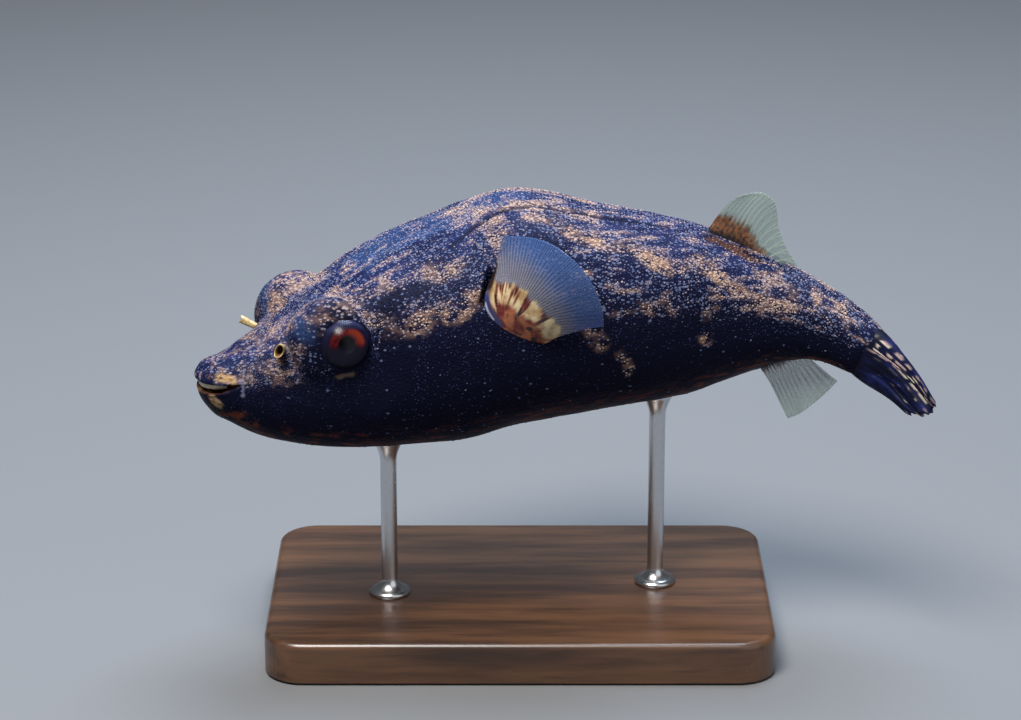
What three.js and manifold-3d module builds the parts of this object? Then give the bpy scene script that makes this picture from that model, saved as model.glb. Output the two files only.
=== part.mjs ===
// A humpbacked freshwater pufferfish, life size, held level on a plain display stand.
//
// Frame, in millimetres: +Z up, the snout towards -X, the fish's left side towards -Y.
// The origin is the centre of the underside of the stand's base.
//
// The fish is first described straight, in (s, q, h): s runs from the snout tip to the tail,
// q is the distance to the fish's left of its midline, and h is the height above its axis.
// pose() then bends that straight fish into its swimming curve.

import * as THREE from "three";
import { mergeVertices } from "three/addons/utils/BufferGeometryUtils.js";
import Module from "manifold-3d";

const wasm = await Module();
wasm.setup();

const radians = THREE.MathUtils.degToRad;
const mix = THREE.MathUtils.lerp;
const smoothstep = THREE.MathUtils.smoothstep;

// ---------------------------------------------------------------- driving dimensions

const AXIS_HEIGHT = 61.6; // of the fish's axis above the floor
const SNOUT_X = -57.6; // where the snout tip stands along X
const LEVEL_S = 64.5; // the station that stands over Y = 0

const HEAD_END = 48; // the head ends just ahead of the gill openings
const TRUNK_END = 114; // the trunk ends behind the dorsal and anal fins
const BODY_END = 125.5; // the fleshy tail ends at the root of the caudal fin
const CUT = 0.3; // gap between neighbouring pieces

// Half width, and height of the back and of the belly above the axis, at named stations.
const STATIONS = [
  { at: "snout tip", s: 0, width: 4.3, back: -4.9, belly: -11.8 },
  { at: "lips", s: 3.2, width: 5.6, back: -4.0, belly: -13.6 },
  { at: "nostrils", s: 12.5, width: 9.0, back: 0.4, belly: -19.0 },
  { at: "eyes", s: 23.5, width: 13.0, back: 6.9, belly: -22.1 },
  { at: "nape", s: 33, width: 17.0, back: 12.4, belly: -23.2 },
  { at: "gill covers", s: 47, width: 20.4, back: 17.5, belly: -23.3 },
  { at: "hump", s: 61, width: 21.2, back: 21.5, belly: -20.6 },
  { at: "mid trunk", s: 77, width: 19.0, back: 18.6, belly: -17.8 },
  { at: "rear trunk", s: 91, width: 15.2, back: 15.9, belly: -15.6 },
  { at: "vent", s: 102, width: 11.4, back: 12.3, belly: -11.6 },
  { at: "fin ends", s: 111, width: 8.2, back: 8.6, belly: -8.0 },
  { at: "tail", s: 118.5, width: 5.9, back: 6.5, belly: -6.2 },
  { at: "caudal root", s: 125.5, width: 3.8, back: 5.4, belly: -5.5 },
];
const SECTION_POWER = 2.25; // 2 is an ellipse; more is boxier
const NOSE_ROUND = 3.4; // how far back the rounding of the snout tip reaches
const LIP_SWELL = { s: 3.2, width: 1.9, height: 0.4 };
const LIP_FOLD = { s: 6.6, width: 1.0, height: 0.4 };

// The swimming curve: degrees of turn towards the fish's left, and of droop, along the body.
const HEAD_TURN = { angle: 24, from: 28, to: 70 };
const TAIL_TURN = { angle: 34, from: 82, to: 126 };
const TAIL_DROOP = { angle: 41, from: 104, to: 141 };

const EYE = { s: 24.2, q: 10.5, h: 0.1, radius: 5.2, opening: 4.5, tiltUp: 8, tiltForward: 6 };
const ORBIT = { s: 22.5, q: 9.0, h: 0.4, radius: 7.6, blend: 3 };

const MOUTH = { front: -8.0, corner: -6.8, depth: 6.4, gape: 2.2, cornerGape: 0.5, halfWidth: 9 };
const MOUTH_POCKET = { from: 0.4, to: 6.0, halfWidth: 4.3, top: -6.9, bottom: -9.3 };
const BEAK = { from: 0.9, length: 4.2, halfWidth: 3.7, plate: 0.7, gap: 0.4 };

const FEELER = { s: 15.8, q: 4.7, drop: 3.7, length: 5.1, root: 0.8, tip: 0.5, fork: 0.5 };
const FEELER_WAY = { back: -0.5, out: 0.8, up: 0.2 };

const GILL = { s: [54.1, 51.2], h: [12.4, 7.2], depth: 1.8, width: 1.4 };

const FIN_EDGE = 0.6; // thickness of a fin at its outer edge
const FIN_SINK = 1.2; // how deep a fin's rays start inside the body before they are trimmed
const PECTORAL = {
  rays: 13,
  s: (t) => 54.8 - 7.9 * t + 19 * t ** 3, // the base runs down and back from the gill opening
  h: (t) => 12.3 - 13 * t + 1.2 * t * t,
  reach: (t) => 6.4 + 42.5 * t - 14 * t * t - 24.4 * t ** 3,
  bow: 0.04, // how far each ray bows, as a share of its length
  rise: (t) => 74 - 53 * t ** 0.34,
  flare: 25, // degrees off the flank
  lean: 0.16, // how much the rising rays lean away from the body
  root: 2.2,
  folded: { left: 0, right: 0.9 }, // the share by which each fin is folded back
  foldedRise: -2,
};
const DORSAL = {
  rays: 12,
  s: [94.2, 106.3],
  reach: (t) => 8.6 - 5.1 * smoothstep(t, 0.48, 0.95) + 2.2 * Math.sin(Math.PI * Math.min(1, t / 0.7)),
  bow: 0.09,
  rise: (t) => 51 + 15 * t - 62 * t ** 5,
  root: 2.2,
};
const ANAL = {
  rays: 10,
  s: [104.5, 113],
  reach: (t) => 11.6 - 1.8 * t + Math.sin(Math.PI * t),
  bow: -0.04,
  rise: (t) => -52 + 40 * t ** 2.2,
  root: 1.8,
};
const CAUDAL = {
  rays: 9,
  length: 16.3,
  slant: 0.16, // how much longer the upper rays are
  start: [5.1, -5.1], // heights of the first and last ray at the root
  end: [2.8, -3.8], // and at the tip
  root: 3.6,
  edge: 1.1,
};

const BASE = { length: 92, width: 58, thickness: 8, corner: 6, bevel: 1.2 };
const ROD = { radius: 1.5, foot: 3.8, footHeight: 2.2, cup: 2.7, cupHeight: 4, x: [-24, 25] };

// ---------------------------------------------------------------- small helpers

// A larger-of-two that rounds the corner between them over the distance k.
function softMax(a, b, k) {
  const t = Math.max(k - Math.abs(a - b), 0) / k;
  return Math.max(a, b) + (t * t * k) / 4;
}

// A smooth curve through one measure of the stations, with no overshoot between them.
function stationCurve(key) {
  const x = STATIONS.map((station) => station.s);
  const y = STATIONS.map((station) => station[key]);
  const rise = x.slice(1).map((value, i) => (y[i + 1] - y[i]) / (value - x[i]));
  const slope = y.map((_, i) => {
    if (i === 0) return rise[0];
    if (i === rise.length) return rise[i - 1];
    if (rise[i - 1] * rise[i] <= 0) return 0;
    return (2 * rise[i - 1] * rise[i]) / (rise[i - 1] + rise[i]);
  });
  return (s) => {
    let i = 0;
    while (i < rise.length - 1 && s > x[i + 1]) i++;
    const step = x[i + 1] - x[i];
    const t = THREE.MathUtils.clamp((s - x[i]) / step, 0, 1);
    const u = 1 - t;
    return (
      y[i] * (1 + 2 * t) * u * u +
      y[i + 1] * t * t * (3 - 2 * t) +
      step * t * u * (slope[i] * u - slope[i + 1] * t)
    );
  };
}
const widthAt = stationCurve("width");
const backAt = stationCurve("back");
const bellyAt = stationCurve("belly");

// ---------------------------------------------------------------- the swimming curve

const SPINE_STEP = 0.25;
const SPINE_LENGTH = 160;

const swing = (bend, s) => radians(bend.angle) * smoothstep(s, bend.from, bend.to);
const turnAt = (s) => radians(HEAD_TURN.angle) - swing(HEAD_TURN, s) - swing(TAIL_TURN, s);
const droopAt = (s) => swing(TAIL_DROOP, s);

// The unit vectors towards the tail, to the fish's left and up, at station s.
function spineFrame(s) {
  const turn = turnAt(s);
  const droop = droopAt(s);
  const aft = new THREE.Vector3(Math.cos(turn), Math.sin(turn), 0);
  const left = new THREE.Vector3(Math.sin(turn), -Math.cos(turn), 0);
  aft.multiplyScalar(Math.cos(droop)).setZ(-Math.sin(droop));
  return { aft, left, up: new THREE.Vector3().crossVectors(left, aft) };
}

function buildSpine() {
  const points = [new THREE.Vector3()];
  for (let s = 0; s < SPINE_LENGTH; s += SPINE_STEP) {
    const { aft } = spineFrame(s + SPINE_STEP / 2);
    points.push(points.at(-1).clone().addScaledVector(aft, SPINE_STEP));
  }
  const level = points[LEVEL_S / SPINE_STEP].y;
  return points.map((p) => p.add(new THREE.Vector3(SNOUT_X, -level, 0)));
}
const SPINE = buildSpine();

// A point of the straight fish, bent into the pose. Ahead of the snout it goes on straight.
function pose(s, q, h) {
  const place = THREE.MathUtils.clamp(s, 0, SPINE_LENGTH - SPINE_STEP);
  const i = Math.floor(place / SPINE_STEP);
  const at = SPINE[i].clone().lerp(SPINE[i + 1], place / SPINE_STEP - i);
  const { aft, left, up } = spineFrame(place);
  return at.addScaledVector(aft, s - place).addScaledVector(left, q).addScaledVector(up, h);
}

// ---------------------------------------------------------------- the body's surface

// A point of the straight body's surface. Angle 0 is the left flank and 90 degrees the back.
function bodySurface(s, angle, offset = 0) {
  const nose = s < NOSE_ROUND ? Math.sqrt(1 - (1 - s / NOSE_ROUND) ** 2) : 1;
  const back = backAt(s);
  const belly = bellyAt(s);
  const centre = (back + belly) / 2;
  const wide = widthAt(s) * nose;
  const high = ((back - belly) / 2) * nose;
  const c = Math.cos(angle);
  const d = Math.sin(angle);
  const sum = Math.abs(c / wide) ** SECTION_POWER + Math.abs(d / high) ** SECTION_POWER;
  let radius = sum ** (-1 / SECTION_POWER);

  // The lips swell ahead of a fold that runs round the mouth, deepest at its corners.
  const ring = ({ s: at, width, height }) => height * Math.exp(-(((s - at) / width) ** 2));
  radius += ring(LIP_SWELL) - ring(LIP_FOLD) * c * c;
  const point = new THREE.Vector3(s, radius * c, centre + radius * d);

  // The orbits are rounded mounds on both sides of the head.
  for (const side of [1, -1]) {
    const centreOfOrbit = new THREE.Vector3(ORBIT.s, side * ORBIT.q, ORBIT.h);
    const away = point.clone().sub(centreOfOrbit);
    const distance = away.length();
    const swollen = softMax(distance, ORBIT.radius, ORBIT.blend);
    point.copy(centreOfOrbit).addScaledVector(away, swollen / distance);
  }
  const outward = new THREE.Vector3(0, point.y, point.z - centre).normalize();
  return point.addScaledVector(outward, offset);
}

// ---------------------------------------------------------------- meshes and solids

function geometryOf(points, triangles) {
  const geometry = new THREE.BufferGeometry().setFromPoints(points);
  geometry.setIndex(triangles.flat());
  return geometry;
}

// A closed tube of rings, each a list of points, with a middle point closing each end.
function closedLoft(rings) {
  const points = rings.flat();
  const around = rings[0].length;
  const triangles = [];
  for (let r = 0; r < rings.length - 1; r++) {
    for (let k = 0; k < around; k++) {
      const a = r * around + k;
      const b = r * around + ((k + 1) % around);
      triangles.push([a, b, a + around], [b, b + around, a + around]);
    }
  }
  [0, rings.length - 1].forEach((r) => {
    const middle = new THREE.Vector3();
    rings[r].forEach((p) => middle.addScaledVector(p, 1 / around));
    const tip = points.push(middle) - 1;
    for (let k = 0; k < around; k++) {
      const edge = [r * around + k, r * around + ((k + 1) % around)];
      triangles.push(r === 0 ? [edge[1], edge[0], tip] : [edge[0], edge[1], tip]);
    }
  });
  return geometryOf(points, triangles);
}

// A closed plate from rows of middle points. across(i) is row i's thickness direction, and
// thickness(j) is how thick the plate is at the jth point of each row.
function closedPlate(rows, across, thickness) {
  const long = rows[0].length;
  const points = [];
  for (const side of [0.5, -0.5]) {
    rows.forEach((row, i) =>
      row.forEach((p, j) => points.push(p.clone().addScaledVector(across(i), side * thickness(j)))),
    );
  }
  const half = rows.length * long;
  const triangles = [];
  for (let i = 0; i < rows.length - 1; i++) {
    for (let j = 0; j < long - 1; j++) {
      const a = i * long + j;
      triangles.push([a, a + long, a + 1], [a + 1, a + long, a + long + 1]);
      triangles.push([half + a, half + a + 1, half + a + long]);
      triangles.push([half + a + 1, half + a + long + 1, half + a + long]);
    }
  }
  const rim = [];
  for (let j = 0; j < long; j++) rim.push(j);
  for (let i = 1; i < rows.length; i++) rim.push(i * long + long - 1);
  for (let j = long - 2; j >= 0; j--) rim.push((rows.length - 1) * long + j);
  for (let i = rows.length - 2; i > 0; i--) rim.push(i * long);
  rim.forEach((a, k) => {
    const b = rim[(k + 1) % rim.length];
    triangles.push([a, b, half + a], [b, half + b, half + a]);
  });
  return geometryOf(points, triangles);
}

function solidOf(geometry) {
  const bare = geometry.clone();
  bare.deleteAttribute("normal");
  bare.deleteAttribute("uv");
  const merged = mergeVertices(bare, 1e-4);
  const solid = new wasm.Manifold(
    new wasm.Mesh({
      numProp: 3,
      vertProperties: merged.attributes.position.array,
      triVerts: new Uint32Array(merged.index.array),
    }),
  );
  if (solid.volume() >= 0) return solid;
  const turned = merged.index.array.slice();
  for (let i = 0; i < turned.length; i += 3) [turned[i], turned[i + 1]] = [turned[i + 1], turned[i]];
  return solidOf(merged.clone().setIndex(new THREE.BufferAttribute(turned, 1)));
}

function meshOf(name, solid, material) {
  const made = solid.getMesh();
  const geometry = new THREE.BufferGeometry();
  geometry.setAttribute("position", new THREE.BufferAttribute(made.vertProperties, 3));
  geometry.setIndex(new THREE.BufferAttribute(made.triVerts, 1));
  geometry.computeVertexNormals();
  const mesh = new THREE.Mesh(geometry, material);
  mesh.name = name;
  return mesh;
}

const finish = (color, roughness, metalness = 0) =>
  new THREE.MeshStandardMaterial({ color, roughness, metalness });
const SKIN = finish(0x1c2036, 0.45);
const FIN = finish(0x5a6f8c, 0.4);
const TAIL_FIN = finish(0x151a35, 0.4);
const EYE_SURFACE = finish(0x5a0d08, 0.08);
const FEELER_SKIN = finish(0xc9c48a, 0.5);
const TOOTH = finish(0xd8ccb0, 0.3);
const WOOD = finish(0x3a2417, 0.5);
const STEEL = finish(0xb9bcc0, 0.3, 1);

// ---------------------------------------------------------------- head, trunk and tail

const AROUND = 36; // points around the body
const NOSE_START = 0.02; // the first ring of the rounded snout

function bodyLength(from, to, rings, offset = 0) {
  const made = [];
  for (let r = 0; r <= rings; r++) {
    const s = mix(from, to, r / rings);
    const ring = [];
    for (let k = 0; k < AROUND; k++) {
      const p = bodySurface(s, (2 * Math.PI * k) / AROUND, offset);
      ring.push(pose(p.x, p.y, p.z));
    }
    made.push(ring);
  }
  return solidOf(closedLoft(made));
}

// A shaft and a ball around the eye, which together open its socket in the head.
function eyeSocket(side) {
  const reach = 12;
  const up = radians(EYE.tiltUp);
  const forward = radians(EYE.tiltForward);
  const s = EYE.s - reach * Math.sin(forward);
  const q = EYE.q + reach * Math.cos(forward) * Math.cos(up);
  const here = pose(EYE.s, side * EYE.q, EYE.h);
  const outer = pose(s, side * q, EYE.h + reach * Math.sin(up));
  const way = outer.clone().sub(here).normalize();
  const shaft = new THREE.CylinderGeometry(EYE.opening, EYE.opening, reach, 24);
  shaft.applyQuaternion(new THREE.Quaternion().setFromUnitVectors(new THREE.Vector3(0, 1, 0), way));
  shaft.translate(...here.clone().lerp(outer, 0.5).toArray());
  const ball = new THREE.SphereGeometry(EYE.radius + CUT, 16, 12).translate(...here.toArray());
  return solidOf(shaft).add(solidOf(ball));
}

// A level plate with a half-oval front, between two heights that may change along its length.
function ovalPlate(from, to, halfWidth, lowAt, highAt) {
  const steps = 16;
  const outline = [];
  for (let k = 0; k <= steps; k++) {
    const angle = (Math.PI * k) / steps - Math.PI / 2;
    outline.push([mix(to, from, Math.cos(angle)), halfWidth * Math.sin(angle)]);
  }
  const ring = (heightAt) => outline.map(([s, q]) => pose(s, q, heightAt(s)));
  return solidOf(closedLoft([ring(lowAt), ring(highAt)]));
}

// The lips part in a wedge, and a pocket behind them holds the beak.
function mouthOpening() {
  const share = (s) => THREE.MathUtils.clamp(s / MOUTH.depth, 0, 1);
  const middle = (s) => mix(MOUTH.front, MOUTH.corner, share(s));
  const half = (s) => mix(MOUTH.gape, MOUTH.cornerGape, share(s)) / 2;
  const lips = ovalPlate(
    -MOUTH.depth,
    MOUTH.depth,
    MOUTH.halfWidth,
    (s) => middle(s) - half(s),
    (s) => middle(s) + half(s),
  );
  const { from, to, halfWidth, top, bottom } = MOUTH_POCKET;
  const pocket = ovalPlate(from, to, halfWidth, () => bottom, () => top);
  return lips.add(pocket);
}

function beakPlate(upper) {
  const { from, length, halfWidth, plate, gap } = BEAK;
  const middle = (MOUTH_POCKET.top + MOUTH_POCKET.bottom) / 2;
  const near = middle + (upper ? gap : -gap) / 2;
  const far = near + (upper ? plate : -plate);
  return ovalPlate(from, from + length, halfWidth, () => near, () => far);
}

function buildHead() {
  const loft = bodyLength(NOSE_START, HEAD_END - CUT / 2, 27);
  return loft.subtract(mouthOpening()).subtract(eyeSocket(1)).subtract(eyeSocket(-1));
}

// The distance from the midline to the flank at station s and height h.
function flankAt(s, h) {
  const centre = (backAt(s) + bellyAt(s)) / 2;
  const high = (backAt(s) - bellyAt(s)) / 2;
  const share = Math.min(1, Math.abs((h - centre) / high));
  return widthAt(s) * (1 - share ** SECTION_POWER) ** (1 / SECTION_POWER);
}

// The gill opening is a short slanting slit ahead of the pectoral fin.
function gillSlit(side) {
  const rows = [0, 0.25, 0.5, 0.75, 1].map((t) => {
    const s = mix(...GILL.s, t);
    const h = mix(...GILL.h, t);
    const sink = GILL.depth * Math.sin(Math.PI * mix(0.1, 0.9, t));
    return [flankAt(s, h) - sink, flankAt(s, h) + 3].map((q) => pose(s, side * q, h));
  });
  const across = () => spineFrame(GILL.s[0]).aft;
  return solidOf(closedPlate(rows, across, () => GILL.width));
}

function buildTrunk() {
  const loft = bodyLength(HEAD_END + CUT / 2, TRUNK_END - CUT / 2, 18);
  return loft.subtract(gillSlit(1)).subtract(gillSlit(-1));
}

// ---------------------------------------------------------------- fins

// A fin of rays that fan out from a base line. root(t) is where ray t starts, and
// place(t, out, from) is the point a share "out" of the way along it.
function fanFin({ fin, edge = FIN_EDGE, root, place, across }) {
  const along = 6;
  const rows = [];
  for (let i = 0; i < fin.rays; i++) {
    const t = i / (fin.rays - 1);
    const row = [];
    for (let j = 0; j <= along; j++) row.push(place(t, j / along, root(t)));
    rows.push(row.map((p) => pose(p.x, p.y, p.z)));
  }
  const taper = 1.6; // the fleshy base thins to the membrane in the first part of each ray
  const thickness = (j) => mix(fin.root, edge, Math.min(1, (taper * j) / along));
  return solidOf(closedPlate(rows, across, thickness));
}

function pectoralFin(side) {
  const flare = radians(PECTORAL.flare);
  const folded = side > 0 ? PECTORAL.folded.left : PECTORAL.folded.right;
  const root = (t) => {
    const s = PECTORAL.s(t);
    const h = PECTORAL.h(t);
    return new THREE.Vector3(s, side * (flankAt(s, h) - FIN_SINK), h);
  };
  const place = (t, out, from) => {
    const rise = radians(mix(PECTORAL.rise(t), PECTORAL.foldedRise, folded));
    const length = (PECTORAL.reach(t) + FIN_SINK) * out;
    const bow = PECTORAL.bow * length * Math.sin(Math.PI * out);
    const along = length * Math.cos(rise) - bow * Math.sin(rise);
    const up = length * Math.sin(rise) + bow * Math.cos(rise);
    const outward = along * Math.sin(flare) + PECTORAL.lean * Math.abs(up);
    return new THREE.Vector3(from.x + along * Math.cos(flare), from.y + side * outward, from.z + up);
  };
  const { aft, left } = spineFrame(PECTORAL.s(0));
  const across = aft.multiplyScalar(-Math.sin(flare)).addScaledVector(left, side * Math.cos(flare));
  return fanFin({ fin: PECTORAL, root, place, across: () => across });
}

function midlineFin(fin, heightAt) {
  const root = (t) => {
    const s = mix(...fin.s, t);
    return new THREE.Vector3(s, 0, heightAt(s) - Math.sign(heightAt(s)) * FIN_SINK);
  };
  const place = (t, out, from) => {
    const rise = radians(fin.rise(t));
    const length = (fin.reach(t) + FIN_SINK) * out;
    const bow = fin.bow * length * Math.sin(Math.PI * out);
    const along = length * Math.cos(rise) - bow * Math.sin(rise);
    return new THREE.Vector3(from.x + along, 0, from.z + length * Math.sin(rise) + bow * Math.cos(rise));
  };
  const across = (i) => spineFrame(mix(...fin.s, i / (fin.rays - 1))).left;
  return fanFin({ fin, root, place, across });
}

// The caudal fin is folded: its rays lie side by side behind the tail.
function caudalFin() {
  const root = (t) => new THREE.Vector3(BODY_END + CUT, 0, mix(...CAUDAL.start, t));
  const place = (t, out, from) => {
    const length = CAUDAL.length * (1 + CAUDAL.slant * (0.5 - t) - 0.1 * (2 * t - 1) ** 2);
    const swell = 1 + 0.14 * Math.sin(Math.PI * out);
    const h = mix(from.z, mix(...CAUDAL.end, t), out) * swell;
    return new THREE.Vector3(from.x + length * out, 0, h);
  };
  const across = () => spineFrame(BODY_END).left;
  return fanFin({ fin: CAUDAL, edge: CAUDAL.edge, root, place, across });
}

// ---------------------------------------------------------------- nostril feelers

// Each nostril carries a short feeler that splits into two lobes near its tip.
function nostrilFeeler(side) {
  const start = new THREE.Vector3(FEELER.s, side * FEELER.q, backAt(FEELER.s) - FEELER.drop);
  const way = new THREE.Vector3(FEELER_WAY.back, side * FEELER_WAY.out, FEELER_WAY.up).normalize();
  const fork = new THREE.Vector3(way.z, 0, -way.x).normalize();
  const wide = new THREE.Vector3().crossVectors(way, fork);
  const steps = 6;
  const lobe = (lean) => {
    const rings = [];
    for (let r = 0; r <= steps; r++) {
      const out = r / steps;
      const round = r === steps ? 0.6 : 1;
      const radius = mix(FEELER.root, FEELER.tip, out) * round;
      const middle = start.clone().addScaledVector(way, (FEELER.length + 1) * out);
      middle.addScaledVector(fork, lean * FEELER.fork * out * out);
      const ring = [];
      for (let k = 0; k < 8; k++) {
        const angle = (Math.PI * k) / 4;
        const p = middle.clone().addScaledVector(fork, radius * Math.cos(angle));
        p.addScaledVector(wide, radius * Math.sin(angle));
        ring.push(pose(p.x, p.y, p.z));
      }
      rings.push(ring);
    }
    return solidOf(closedLoft(rings));
  };
  return lobe(1).add(lobe(-1));
}

// ---------------------------------------------------------------- stand

function standBase() {
  const x = BASE.length / 2 - BASE.bevel;
  const y = BASE.width / 2 - BASE.bevel;
  const r = BASE.corner;
  const outline = new THREE.Shape();
  outline.absarc(x - r, r - y, r, -Math.PI / 2, 0);
  outline.absarc(x - r, y - r, r, 0, Math.PI / 2);
  outline.absarc(r - x, y - r, r, Math.PI / 2, Math.PI);
  outline.absarc(r - x, r - y, r, Math.PI, 1.5 * Math.PI);
  const slab = new THREE.ExtrudeGeometry(outline, {
    depth: BASE.thickness - 2 * BASE.bevel,
    bevelSize: BASE.bevel,
    bevelThickness: BASE.bevel,
    bevelSegments: 2,
    curveSegments: 4,
  });
  return solidOf(slab.translate(0, 0, BASE.bevel));
}

// A turned rod with a spreading foot, and a small cup that the belly rests in.
function standRod(x, body) {
  const s = SPINE.findIndex((p) => p.x > x) * SPINE_STEP;
  const under = pose(s, 0, bellyAt(s));
  const length = under.z + AXIS_HEIGHT - BASE.thickness;
  const { radius, foot, footHeight, cup, cupHeight } = ROD;
  const profile = [
    [0, 0],
    [foot, 0],
    [foot, footHeight * 0.4],
    [radius + 0.6, footHeight * 0.8],
    [radius, footHeight * 1.5],
    [radius, length - cupHeight],
    [cup * 0.8, length - cupHeight * 0.3],
    [cup, length + 1.5],
    [0, length + 1.5],
  ];
  const lathe = new THREE.LatheGeometry(profile.map(([r, z]) => new THREE.Vector2(r, z)), 16);
  lathe.rotateX(Math.PI / 2).translate(under.x, under.y, BASE.thickness + CUT);
  return solidOf(lathe).subtract(body);
}

// ---------------------------------------------------------------- assembly

// The whole body, grown by the gap that the pieces on it keep from it.
const body = bodyLength(NOSE_START, BODY_END + CUT, 60, CUT);

const fish = new THREE.Group();
fish.position.z = AXIS_HEIGHT;
fish.add(
  meshOf("head", buildHead(), SKIN),
  meshOf("trunk", buildTrunk(), SKIN),
  meshOf("tail", bodyLength(TRUNK_END + CUT / 2, BODY_END, 4), SKIN),
  meshOf("dorsal_fin", midlineFin(DORSAL, backAt).subtract(body), FIN),
  meshOf("anal_fin", midlineFin(ANAL, bellyAt).subtract(body), FIN),
  meshOf("caudal_fin", caudalFin(), TAIL_FIN),
  meshOf("beak_upper", beakPlate(true), TOOTH),
  meshOf("beak_lower", beakPlate(false), TOOTH),
);

const SIDES = { left: 1, right: -1 };
for (const [word, side] of Object.entries(SIDES)) {
  const eye = new THREE.Mesh(new THREE.SphereGeometry(EYE.radius, 20, 12), EYE_SURFACE);
  eye.name = `eye_${word}`;
  eye.position.copy(pose(EYE.s, side * EYE.q, EYE.h));
  fish.add(
    eye,
    meshOf(`pectoral_fin_${word}`, pectoralFin(side).subtract(body), FIN),
    meshOf(`nostril_feeler_${word}`, nostrilFeeler(side).subtract(body), FEELER_SKIN),
  );
}

const bodyOverStand = body.translate([0, 0, AXIS_HEIGHT]);
const stand = new THREE.Group();
stand.add(
  meshOf("stand_base", standBase(), WOOD),
  meshOf("stand_rod_front", standRod(ROD.x[0], bodyOverStand), STEEL),
  meshOf("stand_rod_rear", standRod(ROD.x[1], bodyOverStand), STEEL),
);

const model = new THREE.Group();
model.add(fish, stand);

export default model;
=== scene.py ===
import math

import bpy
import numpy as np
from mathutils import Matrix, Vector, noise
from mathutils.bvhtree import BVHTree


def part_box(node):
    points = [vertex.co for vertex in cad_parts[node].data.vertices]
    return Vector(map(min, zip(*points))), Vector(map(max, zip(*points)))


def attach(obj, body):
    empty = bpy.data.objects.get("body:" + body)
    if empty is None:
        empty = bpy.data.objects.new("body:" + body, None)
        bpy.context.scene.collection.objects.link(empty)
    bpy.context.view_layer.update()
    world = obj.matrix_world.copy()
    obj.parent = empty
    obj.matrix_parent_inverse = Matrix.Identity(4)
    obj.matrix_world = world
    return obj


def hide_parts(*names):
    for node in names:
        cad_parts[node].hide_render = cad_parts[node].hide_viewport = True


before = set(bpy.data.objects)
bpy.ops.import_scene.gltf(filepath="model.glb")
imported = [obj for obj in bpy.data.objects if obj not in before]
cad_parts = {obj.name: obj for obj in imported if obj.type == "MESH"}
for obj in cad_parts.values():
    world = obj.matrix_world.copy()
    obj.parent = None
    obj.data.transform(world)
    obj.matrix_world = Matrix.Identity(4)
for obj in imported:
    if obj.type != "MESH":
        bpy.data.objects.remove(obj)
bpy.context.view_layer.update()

# A humpbacked freshwater pufferfish, life size, held level on a plain display stand.
#
# Lengths are millimetres until mesh_piece() writes them as metres. The fish is first described
# straight, in (s, q, h): s from the snout tip to the tail, q to the fish's left, h above its axis.
# pose() bends it into its swimming curve, as the CAD part does. The floor, lights and camera are in metres.

MM = 0.001
rng = np.random.default_rng(7)

# ---- the fish's dimensions

AXIS_HEIGHT = 61.6
SNOUT_X = -57.6
LEVEL_S = 64.5
BODY_END = 125.5
STATIONS = np.array([
    # station, half width, back, belly
    (0, 4.3, -4.9, -11.8),  # snout tip
    (3.2, 5.6, -4.0, -13.6),  # lips
    (12.5, 9.0, 0.4, -19.0),  # nostrils
    (23.5, 13.0, 6.9, -22.1),  # eyes
    (33, 17.0, 12.4, -23.2),  # nape
    (47, 20.4, 17.5, -23.3),  # gill covers
    (61, 21.2, 21.5, -20.6),  # hump
    (77, 19.0, 18.6, -17.8),  # mid trunk
    (91, 15.2, 15.9, -15.6),  # rear trunk
    (102, 11.4, 12.3, -11.6),  # vent
    (111, 8.2, 8.6, -8.0),  # fin ends
    (118.5, 5.9, 6.5, -6.2),  # tail
    (125.5, 3.8, 5.4, -5.5),  # caudal root
])
SECTION_POWER = 2.25
NOSE_ROUND = 3.4
LIP_SWELL = (3.2, 1.9, 0.4)
LIP_FOLD = (6.6, 1.0, 0.4)
HEAD_TURN = (24, 28, 70)
TAIL_TURN = (34, 82, 126)
TAIL_DROOP = (41, 104, 141)
ORBIT_CENTRE = (22.5, 9.0, 0.4)
ORBIT_RADIUS = 7.6
ORBIT_BLEND = 3.0
NORMAL_STEP = 0.02

SKIN_INSET = 0.2  # the skin lies this deep, and the granules fill the rest
EYE_CENTRE = (24.2, 10.5, 0.1)
EYE_RADIUS = 5.2
LID_DEEP = 2.6  # how near the eyeball's centre the skin dips under it
EYE_SEGMENTS = 64
EYE_TILT_UP = math.radians(8)
EYE_TILT_FORWARD = math.radians(6)
MOUTH_FRONT = -8.0
MOUTH_CORNER = -6.8
MOUTH_DEPTH = 6.4
MOUTH_GAPE = 2.2
MOUTH_CORNER_GAPE = 0.5
MOUTH_POCKET = (6.1, 4.4, 1.3)  # station, half width and half height of its inner end
LIP_ROUND = 0.8
JAW_SET_BACK = 0.9  # how far the lower lip stands behind the upper
GILL_TOP = (54.1, 12.4)
GILL_FOOT = (51.2, 7.2)
FEELER_ROOT = (15.8, 4.7, -3.7)  # s, q and the height below the back
FEELER_WAY = (-0.5, 0.8, 0.2)
FEELER_LENGTH = 5.1
FEELER_SIDES = 32
FIN_SINK = 1.2
PECTORAL_HUB = (56.6, 2.6)  # the rays of the pectoral fin spread from this (s, h)
PECTORAL_FLARE = math.radians(25)
LOBE_RADIUS = 9.6  # of the fleshy lobe about that hub
LOBE_THICK = 2.2
MEMBRANE_THICK = 0.14  # of the pectoral fins
CAUDAL_LENGTH = 16.3
CAUDAL_ROOT = (5.1, -5.1)  # its upper and lower edge at the body
CAUDAL_TIP = (2.8, -3.8)
CAUDAL_THICK = (7.0, 0.8)  # at the body and behind
FOLDED_TUCK = 1.8  # how much deeper the top of a folded fin's base lies

# ---- small helpers


def mix(a, b, t):
    return a + (b - a) * t


def smooth(x, low, high):
    t = np.clip((x - low) / (high - low), 0, 1)
    return t * t * (3 - 2 * t)


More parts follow.
